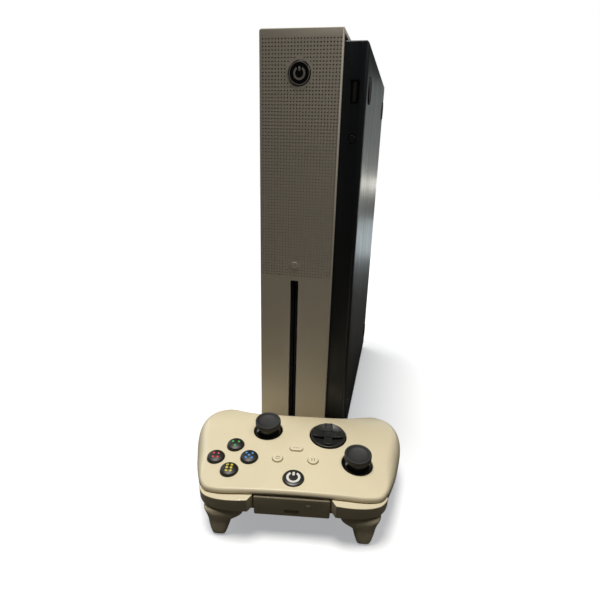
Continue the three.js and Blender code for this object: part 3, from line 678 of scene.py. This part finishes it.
base = {"front": -107.8, "rear": 110.5, "low": 5.4, "high": 289.6, "start": 14.9, "corner": 2.6}
frontSocket = {"left": 22.2, "right": 28.2, "low": 256, "high": 269.4}
flange = {"front": -110.0, "rear": 112.4, "low": 2.5, "high": 292.5, "end": 17.1}
feet = [(-88, 30), (-88, 265), (90, 30), (90, 265)]


def baseTray():
    wall = console["wall"]

    def isFaceEdge(e):
        return all(abs(v.co.x - console["base"]) < 0.01 for v in e.verts)

    low = (base["start"], base["front"], base["low"])
    high = (console["base"], base["rear"], base["high"])
    bm = block(low, high, base["corner"], 6, isFaceEdge)
    corners = filter(runsAlong("x", 5), bm.edges)
    bevelEdges(bm, corners, 1.0, 3)
    rim = block((base["start"], flange["front"], flange["low"]),
                (flange["end"], flange["rear"], flange["high"]), 0.3, 2)
    bm = carve(bm, rim, "UNION")
    hollow = block((base["start"] - 1, base["front"] + wall, base["low"] + wall),
                   (console["base"] - wall, base["rear"] - wall, base["high"] - wall))
    port = block((frontSocket["left"], base["front"] - 1, frontSocket["low"]),
                 (frontSocket["right"], base["front"] + 4, frontSocket["high"]), 0.6, 3, runsAlong("y"))
    sink = [(0, -0.9), (8.3, -0.9), (8.3, 1.5), (0, 1.5)]
    sinks = [turned(sink, (console["base"], y, z), "x", 40) for y, z in feet]
    pairingHole = flaredHole(pairing["x"], pairing["z"], pairing["radius"] + 0.3, 0.3, base["front"])
    return carve(bm, merged(hollow, port, pairingHole, *sinks))


addPiece("baseTray", baseTray(), blackPlastic, "console", ["base_shell"])

portLiner = carve(block((21.4, base["front"] + 1.2, 255.2), (29.0, base["front"] + 12, 270.2), 0.5, 2),
                  block((22.3, base["front"] - 1, 256.1), (28.1, base["front"] + 10, 269.3), 0.4, 2))
addPiece("frontSocketLiner", portLiner, socketMetal, "console")
tongue = block((24.1, base["front"] + 1.0, 257.0), (26.3, base["front"] + 11, 268.4), 0.3, 2)
addPiece("frontSocketTongue", tongue, darkPlastic, "console")

for i, (y, z) in enumerate(feet):
    profile = [(0, -0.6), (7.6, -0.6), (8.0, -0.3), (8.0, 0.45),
               *arcProfile(7.55, 0.45, 0.45, 0, 90, 3), (6.6, 0.9), (6.3, 0.6), (0, 0.6)]
    addPiece(f"footPad{i + 1}", turned(profile, (console["base"], y, z), "x", 48), feetRubber,
             "console", [f"foot_{i + 1}"])
print("base made")


def buttonAlongY(profile, x, z, face):
    # profile is (radius, proud of the face), from the axis back to the axis
    return standOnFront(turned(profile), x, z, face)


def discButton(radius, proud, rounding, dish=0.0):
    edge = arcProfile(radius - rounding, proud - rounding, rounding, 0, 90, 4)
    return [(0, -3.8), (radius + 1.2, -3.8), (radius + 1.2, -2.6), (radius, -2.6), *edge,
            (radius - rounding - 1, proud - dish), (0, proud - dish)]


def powerMark(radius, width, gapAngle=64, bar=0.62, thick=0.1):
    # an open ring with a bar in its opening
    bm = bmesh.new()
    start = math.radians(90 + gapAngle / 2)
    corners = [(radius - width / 2, 0), (radius + width / 2, 0), (radius + width / 2, thick),
               (radius - width / 2, thick)]
    ring = [bm.verts.new((r * math.cos(start), r * math.sin(start), h)) for r, h in corners]
    face = bm.faces.new(ring)
    bmesh.ops.spin(bm, geom=[*ring, *face.edges, face], axis=(0, 0, 1), cent=(0, 0, 0),
                   angle=fullTurn - math.radians(gapAngle), steps=40)
    bmesh.ops.recalc_face_normals(bm, faces=bm.faces)
    stroke = block((-width / 2, radius * (1 - bar), 0), (width / 2, radius * 1.12, thick), 0.03, 2)
    return merged(bm, stroke)


front = console["front"]
powerDisc = buttonAlongY(discButton(power["radius"], 0.4, 0.35), power["x"], power["z"], front)
addPiece("powerButtonDisc", powerDisc, glossBlack, "power_key", ["power_button"])
ringProfile = [(power["radius"] - 0.75, 0.32), (power["radius"] - 0.2, 0.32),
               (power["radius"] - 0.25, 0.46), (power["radius"] - 0.7, 0.46),
               (power["radius"] - 0.75, 0.32)]
addPiece("powerButtonRing", buttonAlongY(ringProfile, power["x"], power["z"], front), ringMetal,
         "power_key")


addPiece("powerButtonMark", standOnFront(powerMark(3.1, 1.15), power["x"], power["z"], front - 0.38),
         markSilver, "power_key")
ejectDisc = buttonAlongY(discButton(eject["radius"], 0.3, 0.28, 0.06), eject["x"], eject["z"], front)
addPiece("ejectButtonDisc", ejectDisc, whitePlastic, "eject_key", ["eject_button"])
pairingDisc = buttonAlongY(discButton(pairing["radius"], 0.2, 0.18, 0.05), pairing["x"], pairing["z"],
                           base["front"])
addPiece("pairingButtonDisc", pairingDisc, blackPlastic, "console_sync_key",
         ["console_sync_button"])

# felt lips just inside the disc slot
lipHalf, lipReach = slotHole["width"] / 2, slotHole["length"] / 2
for side, label in ((-1, "Left"), (1, "Right")):
    inner, outer = sorted((slotHole["x"] + side * 0.35, slotHole["x"] + side * (lipHalf + 1.4)))
    lip = block((inner, front + 2.3, slotHole["z"] - lipReach - 1),
                (outer, front + 3.6, slotHole["z"] + lipReach + 1), 0.3, 2)
    addPiece("slotFelt" + label, lip, felt, "console")
print("console buttons and slot made")


pad = {"place": (6.2, -160.9, 39.9), "yaw": 8.1, "tilt": -7.5, "wall": 2.2, "seamGap": 0.5,
       "splitX": 33.0}
padPlace = (
    Matrix.Translation(Vector(pad["place"]) * mm)
    @ Matrix.Rotation(math.radians(180 + pad["yaw"]), 4, "Z")
    @ Matrix.Rotation(math.radians(pad["tilt"]), 4, "X")
    @ toMetres
)


def addPad(name, bm, material, body, hides=(), crease=32):
    # a piece drawn in the controller's own frame
    return addPiece(name, bm, material, body, hides, crease, padPlace)


halfOutline = [
    (0, 40.6), (30, 40.6), (47, 40.3), (55, 38), (59.3, 32.5), (63.1, 23.5), (67.2, 11.5), (70.6, -1),
    (73.3, -13),
    (74.6, -25), (73.7, -37), (69.8, -48), (63, -55.2), (56, -57.6), (49.5, -55), (43.5, -50),
    (36.5, -45.5), (27, -42.8), (14, -41.4),
]
mirrored = [(-x, y) for x, y in reversed(halfOutline[1:])]
planCurve = np.array([tuple(p) for p in smoothThrough([*halfOutline, (0, -41), *mirrored], 3000)])
planTree = KDTree(len(planCurve))
for i, (x, y) in enumerate(planCurve):
    planTree.insert((x, y, 0), i)
planTree.balance()


def smooth(t):
    s = np.clip(t, 0, 1)
    return s * s * (3 - 2 * s)


def roundOff(distance, radius):
    t = np.minimum(distance / radius, 1)
    return np.sqrt(np.maximum(0, 1 - (1 - t) ** 2))


def crown(x, y):
    return 1.2 - 0.0009 * x**2 - np.where(y < -14, 0.0085 * (y + 14) ** 2, 0)


def seam(x, y):
    return crown(x, y) - 2.8 - 9.8 * smooth((38 - y) / 40)


def underside(x, y):
    grip = smooth((-6 - y) / 34) * smooth((np.abs(x) - 26) / 22)
    return -19 - 11 * smooth((38 - y) / 30) - 14.6 * grip


def faceHeight(x, y, distance):
    radius = 2 + 7 * smooth((34 - y) / 30)
    return seam(x, y) + (crown(x, y) - seam(x, y)) * roundOff(distance, radius)


def lowerHeight(x, y, distance):
    radius = 5 + 11 * smooth((34 - y) / 30)
    return seam(x, y) + (underside(x, y) - seam(x, y)) * roundOff(distance, radius)


def edgeDistance(x, y):
    return np.array([planTree.find((a, b, 0))[2] for a, b in zip(x, y)])


def surfaceAt(x, y):
    xs, ys = np.array([x], float), np.array([y], float)
    return float(faceHeight(xs, ys, edgeDistance(xs, ys))[0])


def surfaceCrown(x, y):
    return float(crown(np.array(float(x)), np.array(float(y))))


def planEnds(levels):
    a, b = planCurve[:-1], planCurve[1:]
    ends = {}
    for x in levels:
        crossing = ((a[:, 0] - x) * (b[:, 0] - x) <= 0) & (a[:, 0] != b[:, 0])
        p, q = a[crossing], b[crossing]
        y = p[:, 1] + (x - p[:, 0]) / (q[:, 0] - p[:, 0]) * (q[:, 1] - p[:, 1])
        ends[x] = (y.min(), y.max())
    return ends


def pillow(upper, lower, rimDrop, inset, across, around):
    # a sphere laid on its side and pulled to the plan outline and two height formulas
    bm = bmesh.new()
    bmesh.ops.create_uvsphere(bm, u_segments=around, v_segments=across, radius=1)
    spots = np.array([tuple(v.co) for v in bm.verts])
    ring = np.hypot(spots[:, 0], spots[:, 1])
    side = np.where(ring > 1e-5, spots[:, 0] / np.maximum(ring, 1e-9), 0)
    reach = planCurve[:, 0].max()
    x = np.round(spots[:, 2], 6) * reach * 0.9995
    ends = planEnds(sorted(set(x)))
    low = np.array([ends[v][0] for v in x])
    high = np.array([ends[v][1] for v in x])
    middle, half = (low + high) / 2, (high - low) / 2
    y = middle + side * half
    rim = (1 - np.abs(side) < 1e-5) | (ring < 1e-5)
    distance = np.where(rim, 0, edgeDistance(x, y))
    height = np.where(spots[:, 1] >= 0, upper(x, y, distance), lower(x, y, distance))
    z = np.where(rim, seam(x, y) - rimDrop, height)
    x = x * (reach - inset) / reach
    y = middle + side * np.maximum(0, half - inset)
    for v, spot in zip(bm.verts, zip(x, y, z)):
        v.co = spot
    bmesh.ops.recalc_face_normals(bm, faces=bm.faces)
    return bm


def plainLower(x, y, distance):
    return seam(x, y)


wall = pad["wall"]
seamGap = pad["seamGap"]


def padHollow():
    return pillow(
        lambda x, y, d: faceHeight(x, y, d) - wall,
        lambda x, y, d: lowerHeight(x, y, d) + wall,
        1, wall, 90, 64,
    )


faceKeys = {"x": 41.8, "y": 13.2, "spacing": 11.2, "radius": 5.7}
leftStick = (-40.7, 12.0)
rightStick = (21.4, -14.0)
stickHole = 10.3
dish = {"x": -21.2, "y": -11.8, "radius": 12.1}
guide = {"x": 0.0, "y": 29.2, "radius": 6.6}
keyPlaces = {
    "south": (faceKeys["x"], faceKeys["y"] - faceKeys["spacing"]),
    "east": (faceKeys["x"] + faceKeys["spacing"], faceKeys["y"]),
    "west": (faceKeys["x"] - faceKeys["spacing"], faceKeys["y"]),
    "north": (faceKeys["x"], faceKeys["y"] + faceKeys["spacing"]),
}
pillKeys = {
    "view": (-11.7, 13.1, 3.4, 0.0),
    "menu": (11.7, 13.1, 3.4, 0.0),
    "share": (0.0, 3.4, 2.3, 2.1),
}


def stretchSides(bm, stretch):
    for v in bm.verts:
        if abs(v.co.x) > 1e-4:
            v.co.x += math.copysign(stretch, v.co.x)
    return bm


def faceHole(x, y, radius, flare, stretch=0.0, steps=72):
    # a cutter whose rounded mouth follows the height of the face round the hole
    profile = [(0, -26), (radius, -26), (radius, -flare)]
    for angle in (25, 50, 70):
        a = math.radians(angle)
        profile.append((radius + flare - flare * math.cos(a), -flare + flare * math.sin(a)))
    run = 0.25 + 0.06 * flare
    profile += [(profile[-1][0] + run * 2.747, 0.25), (profile[-1][0] + run * 2.747, 7), (0, 7)]
    bm = stretchSides(turned(profile, steps=steps), stretch)
    bmesh.ops.translate(bm, vec=(x, y, 0), verts=bm.verts)
    for v in bm.verts:
        v.co.z += surfaceAt(v.co.x, v.co.y)
    return bm


def faceShell():
    bm = pillow(faceHeight, plainLower, 0, 0.07, 230, 176)
    bm = carve(bm, padHollow())
    cutters = [
        faceHole(*leftStick, stickHole, 0.6),
        faceHole(*rightStick, stickHole, 0.6),
        faceHole(dish["x"], dish["y"], dish["radius"] + 0.9, 0.5),
        faceHole(guide["x"], guide["y"], guide["radius"] + 0.3, 0.3),
        *[faceHole(x, y, faceKeys["radius"] + 0.3, 0.35, steps=48) for x, y in keyPlaces.values()],
        *[faceHole(x, y, radius + 0.3, 0.3, stretch, 48) for x, y, radius, stretch in pillKeys.values()],
    ]
    return carve(bm, merged(*cutters))


addPad("padFace", faceShell(), creamPlastic, "controller", ["face_shell"], crease=38)
print("pad face made")

farOut = 90.0


def lowerPad():
    bm = pillow(
        lambda x, y, d: seam(x, y) - seamGap,
        lambda x, y, d: lowerHeight(x, y, d) - seamGap,
        seamGap, 0.07, 200, 150,
    )
    bm = carve(bm, padHollow())
    room = block((-farOut, 31, -farOut), (farOut, farOut, 10))
    bm = carve(bm, room)
    bays = merged(block((28.6, 21.6, -farOut), (62, farOut, -13.3)),
                  block((-62, 21.6, -farOut), (-28.6, farOut, -13.3)))
    return carve(bm, bays)


def outside(side, start):
    low, high = sorted((side * start, side * farOut))
    return block((low, -farOut, -farOut), (high, farOut, farOut))


lowerWhole = lowerPad()
split, halfGap = pad["splitX"], 0.15
backPart = carve(lowerWhole.copy(), merged(outside(1, split - halfGap), outside(-1, split - halfGap)))
backPart = carve(backPart, block((-28.7, -5.8, -farOut), (28.7, farOut, -13)))
leftGrip = carve(lowerWhole.copy(), outside(-1, split + halfGap), "INTERSECT")
rightGrip = carve(lowerWhole, outside(1, split + halfGap), "INTERSECT")
addPad("padBack", backPart, creamPlastic, "controller", ["back_shell"], crease=38)
addPad("padGripLeft", leftGrip, creamGrip, "controller", ["left_grip_panel"], crease=38)
addPad("padGripRight", rightGrip, creamGrip, "controller", ["right_grip_panel"],
       crease=38)
print("pad back and grips made")


def batteryCover():
    side = [(-5.5, -27), (-5.5, -31), (-2, -33.8), (24, -33.8), (30.6, -27.4), (30.6, -21)]
    inside = [(-3.9, -15), (-3.9, -30.2), (-1.4, -32.2), (23.3, -32.2), (29, -26.7), (29, -15)]
    bm = prism(side, -28.4, 28.4, "x")
    under = [e for e in bm.edges if max(v.co.z for v in e.verts) < -26
             or min(v.co.z for v in e.verts) < -28]
    bevelEdges(bm, under, 1.1, 4)
    bm = carve(bm, prism(inside, -26.8, 26.8, "x"))
    grooves = bmesh.new()
    for y in (2.0, 4.4, 6.8):
        grooves = merged(grooves, block((-9, y - 0.5, -34.5), (9, y + 0.5, -33.35), 0.3, 2))
    return carve(bm, grooves)


addPad("padBatteryCover", batteryCover(), creamPlastic, "battery_cover", ["battery_door"])

bumperInfo = {"bottom": -13.0, "under": 0.6, "rounding": 1.25}


def seamAt(x, y):
    return float(seam(np.array(float(x)), np.array(float(y))))


def bumperShape(side):
    corner = [(59.6, 33.2), (58, 37), (54.6, 41), (49, 43.6), (42, 45), (34, 45.4), (27.2, 45)]
    bend = [tuple(p) for p in smoothThrough(corner, 36, closed=False)]
    outline = [(24.4, 33.2), *bend, (24.4, 40.6)]
    bm = prism([(side * x, y) for x, y in outline], bumperInfo["bottom"], 0.0)
    for v in bm.verts:
        if v.co.z > -1:
            v.co.z = seamAt(v.co.x, min(v.co.y, 40.6)) - bumperInfo["under"]
    rimTop = [e for e in bm.edges if all(v.co.z > -9 for v in e.verts)]
    bevelEdges(bm, rimTop, bumperInfo["rounding"], 5)
    bmesh.ops.recalc_face_normals(bm, faces=bm.faces)
    return bm


for side, label in ((-1, "Left"), (1, "Right")):
    low = label.lower()
    addPad("padBumper" + label, bumperShape(side), creamGloss, f"{low}_bumper_key",
           [f"{low}_bumper"])


def bridgeShape():
    top = seamAt(24, 33) - 0.9
    bm = block((-23.8, 33.2, -19.7), (23.8, 41.2, top), 1.0, 4,
               lambda e: any(v.co.y > 40 for v in e.verts))
    pocket = block((-21.4, 32, -17.9), (21.4, 39.2, top - 1.6))
    hole = turned([(0, 0), (2.15, 0), (2.15, 6), (0, 6)], (-10.4, 37.8, -10.3), "y", 40)
    port = block((-4.9, 38, -16.9), (4.9, 43, -13.5), 1.4, 4, runsAlong("y"))
    room = turned([(0, top - 5), (guide["radius"] + 2, top - 5), (guide["radius"] + 2, top + 3),
                   (0, top + 3)],
                  (guide["x"], guide["y"], 0))
    return carve(carve(bm, room), merged(pocket, hole, port))


addPad("padBridge", bridgeShape(), creamGloss, "controller", ["bumper_bridge"])
syncProfile = [(0, -0.4), (2.7, -0.4), (2.7, 1.0), (1.9, 1.0), *arcProfile(1.6, 3.6, 0.3, 0, 90, 3),
               (0, 3.9)]
addPad("padPairingButton", turned(syncProfile, (-10.4, 37.6, -10.3), "y", 40), creamPlastic,
       "controller_sync_key", ["controller_sync_button"])

triggerInner = [(-13.4, 29.5), (-18.5, 30.2), (-22.5, 37.4), (-29, 39.9), (-33.6, 41.6)]
triggerOuter = [(-13.4, 57.8), (-20.5, 54), (-29.5, 51), (-33.6, 49.4)]
triggerNear = [(-13.8, 44.6), (-18, 45.6), (-24, 46), (-29.5, 47), (-32.6, 47.6), (-33.6, 46.4)]
triggerBack = [(-14.4, 28), (-18, 25.4), (-23, 27), (-26.4, 36), (-31, 41.5), (-33.6, 44)]


def alongHeight(table, z):
    heights = [h for h, _ in reversed(table)]
    values = [v for _, v in reversed(table)]
    return np.interp(z, heights, values)


def triggerShape(side):
    # a sphere pulled to the trigger's front and side outlines, with squarish sections
    bm = bmesh.new()
    bmesh.ops.create_uvsphere(bm, u_segments=56, v_segments=44, radius=1)
    top, bottom = -13.9, -33.8
    for v in bm.verts:
        ring = math.hypot(v.co.x, v.co.y)
        depth = (1 - v.co.z) / 2
        z = top + (bottom - top) * depth
        full = (1 - min(1, abs(v.co.z)) ** 9) ** (1 / 3.2)
        cosine, sine = (v.co.x / ring, v.co.y / ring) if ring > 1e-5 else (0, 0)
        squareX = math.copysign(abs(cosine) ** 0.55, cosine) * full
        squareY = math.copysign(abs(sine) ** 0.55, sine) * full
        x0, x1 = alongHeight(triggerInner, z), alongHeight(triggerOuter, z)
        y0, y1 = alongHeight(triggerBack, z), alongHeight(triggerNear, z)
        v.co = (side * ((x0 + x1) / 2 + squareX * (x1 - x0) / 2),
                (y0 + y1) / 2 + squareY * (y1 - y0) / 2, z)
    for _ in range(3):
        bmesh.ops.smooth_vert(bm, verts=bm.verts, factor=0.5, use_axis_x=True, use_axis_y=True,
                              use_axis_z=True)
    bmesh.ops.recalc_face_normals(bm, faces=bm.faces)
    return bm


for side, label in ((-1, "Left"), (1, "Right")):
    low = label.lower()
    addPad("padTrigger" + label, triggerShape(side), creamGrip, f"{low}_trigger_key",
           [f"{low}_trigger"], crease=60)
print("bumpers, bridge and triggers made")


stick = {"drop": 7.9, "skirt": 11.1, "inner": 9.8, "cap": 8.9, "capLow": 13.5, "capTop": 16.7,
         "neck": 6.3, "rows": 6, "rise": 0.42}


def ballArc(radius, angles, pivot):
    return [(radius * math.sin(math.radians(a)),
             pivot + radius * math.cos(math.radians(a))) for a in angles]


def stickSkirt(x, y):
    pivot = surfaceCrown(x, y) - stick["drop"]
    profile = [
        (0, pivot - 1.3), (2, pivot - 1.3),
        *ballArc(stick["inner"], (11.9, 22, 34, 45, 57, 68, 80), pivot),
        *ballArc(stick["skirt"], (80, 73, 66, 59, 52, 46, 41, 36), pivot),
        (stick["neck"], pivot + 11.0), (stick["neck"] + 0.4, pivot + 11.8),
        (stick["neck"] + 0.4, pivot + 12.3), (0, pivot + 12.4),
    ]
    return turned(profile, (x, y, 0), steps=96)


def stickCap(x, y):
    pivot = surfaceCrown(x, y) - stick["drop"]
    cap, low, top = stick["cap"], stick["capLow"] + pivot, stick["capTop"] + pivot
    profile = [
        (0, low - 1.2), (6.5, low - 1.2), (7.7, low - 0.7), *arcProfile(8.35, low - 0.1, 0.5, -70, 0, 3),
        *[(cap - 0.05, low + 0.3 + stick["rise"] * i) for i in range(stick["rows"])],
        *arcProfile(cap - 0.7, top - 0.7, 0.68, 10, 100, 5),
        (7.6, top - 0.1), (7.25, top - 0.45), (6.9, top - 0.85), (5.4, top - 1.25), (3.6, top - 1.5),
        (1.8, top - 1.62), (0, top - 1.66),
    ]
    ridgeTop = low + 0.35 + stick["rise"] * (stick["rows"] - 1)
    bm = turned(profile, (0, 0, 0), steps=128)
    for v in bm.verts:
        radius = math.hypot(v.co.x, v.co.y)
        onSide = low + 0.25 < v.co.z < ridgeTop and radius > cap - 0.2
        if onSide:
            column = round(math.atan2(v.co.y, v.co.x) / fullTurn * 128)
            row = round((v.co.z - low - 0.3) / stick["rise"])
            push = 0.05 if (column + row) % 2 == 0 else -0.13
            v.co.x *= 1 + push / radius
            v.co.y *= 1 + push / radius
    bmesh.ops.translate(bm, vec=(x, y, 0), verts=bm.verts)
    return bm


for (x, y), label in ((leftStick, "Left"), (rightStick, "Right")):
    body = f"{label.lower()}_thumbstick"
    addPad("padStickSkirt" + label, stickSkirt(x, y), stickPlastic, body,
           [f"{label.lower()}_stick"])
    addPad("padStickCap" + label, stickCap(x, y), stickRubber, body, crease=50)


def directionPad():
    x, y, radius = dish["x"], dish["y"], dish["radius"]
    profile = [
        (0, -6.2), (2.4, -6.2), (2.4, -2.6), (radius - 0.4, -2.6), (radius, -2.2), (radius, 1.0),
        *arcProfile(radius - 0.45, 1.1, 0.45, 0, 90, 3), (radius - 1.3, 1.35), (9.4, 0.75), (7, 0.3),
        (4, -0.05), (0, -0.2),
    ]
    bowl = turned(profile, (0, 0, 0), steps=48)
    arms = []
    for turn in (0, 1):
        arm = block((-10.4, -2.9, -1.6), (10.4, 2.9, 2.9))
        bmesh.ops.subdivide_edges(arm, edges=arm.edges, cuts=5, use_grid_fill=True)
        for v in arm.verts:
            if v.co.z > 2.8:
                v.co.z -= 1.2 * (1 - min(1, abs(v.co.x) / 9.5) ** 2)
        rimEdges = [
            e for e in arm.edges
            if len(e.link_faces) == 2 and e.calc_face_angle(0) > 0.9
            and max(v.co.z for v in e.verts) > -1
        ]
        bevelEdges(arm, rimEdges, 0.45, 3)
        if turn:
            across = Matrix.Rotation(math.pi / 2, 3, "Z")
            bmesh.ops.rotate(arm, cent=(0, 0, 0), matrix=across, verts=arm.verts)
        arms.append(arm)
    bm = merged(bowl, *arms)
    bmesh.ops.translate(bm, vec=(x, y, 0), verts=bm.verts)
    return bm


addPad("padDirectionDish", directionPad(), dishBlack, "dpad_plate", ["dpad"], crease=24)
print("sticks and direction pad made")


def domeHeight(radius):
    return 2.4 - 1.15 * (radius / faceKeys["radius"]) ** 2.4


def faceKey(x, y):
    top = surfaceCrown(x, y)
    r = faceKeys["radius"]
    dome = [(r - 0.02, top + 0.9), (r - 0.12, top + 1.12)]
    dome += [(v, top + domeHeight(v)) for v in (5.3, 4.9, 4.3, 3.6, 2.8, 1.9, 1.0)]
    under = top - 4.5
    profile = [(0, -9.4), (2.2, -9.4), (2.2, under - 1.2), (r + 1.0, under - 1.2), (r + 1.0, under),
               (r, under), *dome, (0, top + 2.4)]
    return turned(profile, (x, y, 0), steps=64)


# generic dot marks: three, four, five and six dots, coloured per key
keyMarks = {
    "south": ("green", [(0, 2.1), (-1.9, -1.3), (1.9, -1.3)]),
    "east": ("red", [(-1.5, 1.6), (1.5, 1.6), (-1.5, -1.6), (1.5, -1.6)]),
    "west": ("blue", [(-1.9, 1.9), (1.9, 1.9), (0, 0), (-1.9, -1.9), (1.9, -1.9)]),
    "north": ("yellow", [(-1.35, 2.3), (1.35, 2.3), (-1.35, 0), (1.35, 0), (-1.35, -2.3), (1.35, -2.3)]),
}


def dotMarks(x, y, places, radius=0.95):
    top = surfaceCrown(x, y)
    whole = bmesh.new()
    for dx, dy in places:
        height = top + domeHeight(math.hypot(dx, dy))
        lens = turned([(0, -0.35), (radius, -0.35), (radius, -0.05), (radius * 0.8, 0.06), (0, 0.09)],
                      (x + dx, y + dy, height), steps=20)
        whole = merged(whole, lens)
    return whole


for name, (x, y) in keyPlaces.items():
    ink, places = keyMarks[name]
    addPad("padKey" + name.capitalize(), faceKey(x, y), keyBlack, f"key_{name}",
           [f"button_{name}"])
    addPad("padKeyMark" + name.capitalize(), dotMarks(x, y, places), inks[ink], f"key_{name}")


def pillKey(x, y, radius, stretch):
    top = surfaceCrown(x, y)
    profile = [
        (0, -10.1), (1.4, -10.1), (1.4, top - 5.4), (radius + 1, top - 5.4), (radius + 1, top - 4.4),
        (radius, top - 4.4),
        *arcProfile(radius - 0.5, top + 0.4, 0.5, 0, 90, 4), (radius * 0.5, top + 0.86), (0, top + 0.82),
    ]
    bm = stretchSides(turned(profile, steps=48), stretch)
    bmesh.ops.translate(bm, vec=(x, y, 0), verts=bm.verts)
    return bm


def strokes(x, y, bars):
    top = surfaceCrown(x, y) + 0.84
    whole = bmesh.new()
    for dx, dy, length, width in bars:
        whole = merged(whole, block((x + dx - length / 2, y + dy - width / 2, top - 0.2),
                                    (x + dx + length / 2, y + dy + width / 2, top + 0.05), 0.05, 2))
    return whole


pillMarks = {
    "view": [(-0.8, 0, 0.5, 2.6), (0.8, 0, 0.5, 2.6)],
    "menu": [(0, 0.8, 2.8, 0.5), (0, -0.8, 2.8, 0.5)],
    "share": [(-1.5, 0, 0.7, 0.7), (0, 0, 0.7, 0.7), (1.5, 0, 0.7, 0.7)],
}
for name, (x, y, radius, stretch) in pillKeys.items():
    addPad("padPill" + name.capitalize(), pillKey(x, y, radius, stretch), creamPlastic, f"{name}_key",
           [f"{name}_button"])
    addPad("padPillMark" + name.capitalize(), strokes(x, y, pillMarks[name]), printGrey, f"{name}_key")


def guideDisc():
    top = surfaceCrown(guide["x"], guide["y"])
    r = guide["radius"]
    profile = [
        (0, -10), (2.4, -10), (2.4, top - 4.2), (r + 0.8, top - 4.2), (r + 0.8, top - 3), (r, top - 3),
        *arcProfile(r - 0.5, top + 0.25, 0.5, 0, 75, 4), (r * 0.55, top + 0.92), (0, top + 1.0),
    ]
    return turned(profile, (guide["x"], guide["y"], 0), steps=72)


addPad("padGuideDisc", guideDisc(), guideGrey, "guide_key", ["guide_button"])
guideMark = powerMark(3.7, 1.5)
bmesh.ops.rotate(guideMark, cent=(0, 0, 0), matrix=Matrix.Rotation(math.pi, 3, "Z"),
                 verts=guideMark.verts)
markHeight = surfaceCrown(guide["x"], guide["y"]) + 0.93
bmesh.ops.translate(guideMark, vec=(guide["x"], guide["y"], markHeight), verts=guideMark.verts)
addPad("padGuideMark", guideMark, markWhite, "guide_key")
print("keys made")


carried = {
    blackPlastic: ["rear_panel", "fan_shroud", "fan_rotor"],
    darkPlastic: [
        "optical_drive", "disc_spindle", "power_supply", "dpad_pivot",
        *[f"{s}_stick_{k}" for s in ("left", "right") for k in ("rocker", "carriage", "module")],
    ],
    feetRubber: ["feed_roller"],
    steel: ["hard_drive", *[f"case_screw_{i}" for i in (1, 2, 3, 4)],
            *[f"{s}_rumble_{k}" for s in ("left", "right") for k in ("motor", "weight")]],
    alloy: ["heatsink"],
    circuitBoard: ["mainboard", "controller_board"],
    cellWrap: ["battery_1", "battery_2"],
}
for material, names in carried.items():
    for name in names:
        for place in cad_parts[name].material_slots:
            place.material = material
print("carried nodes finished")
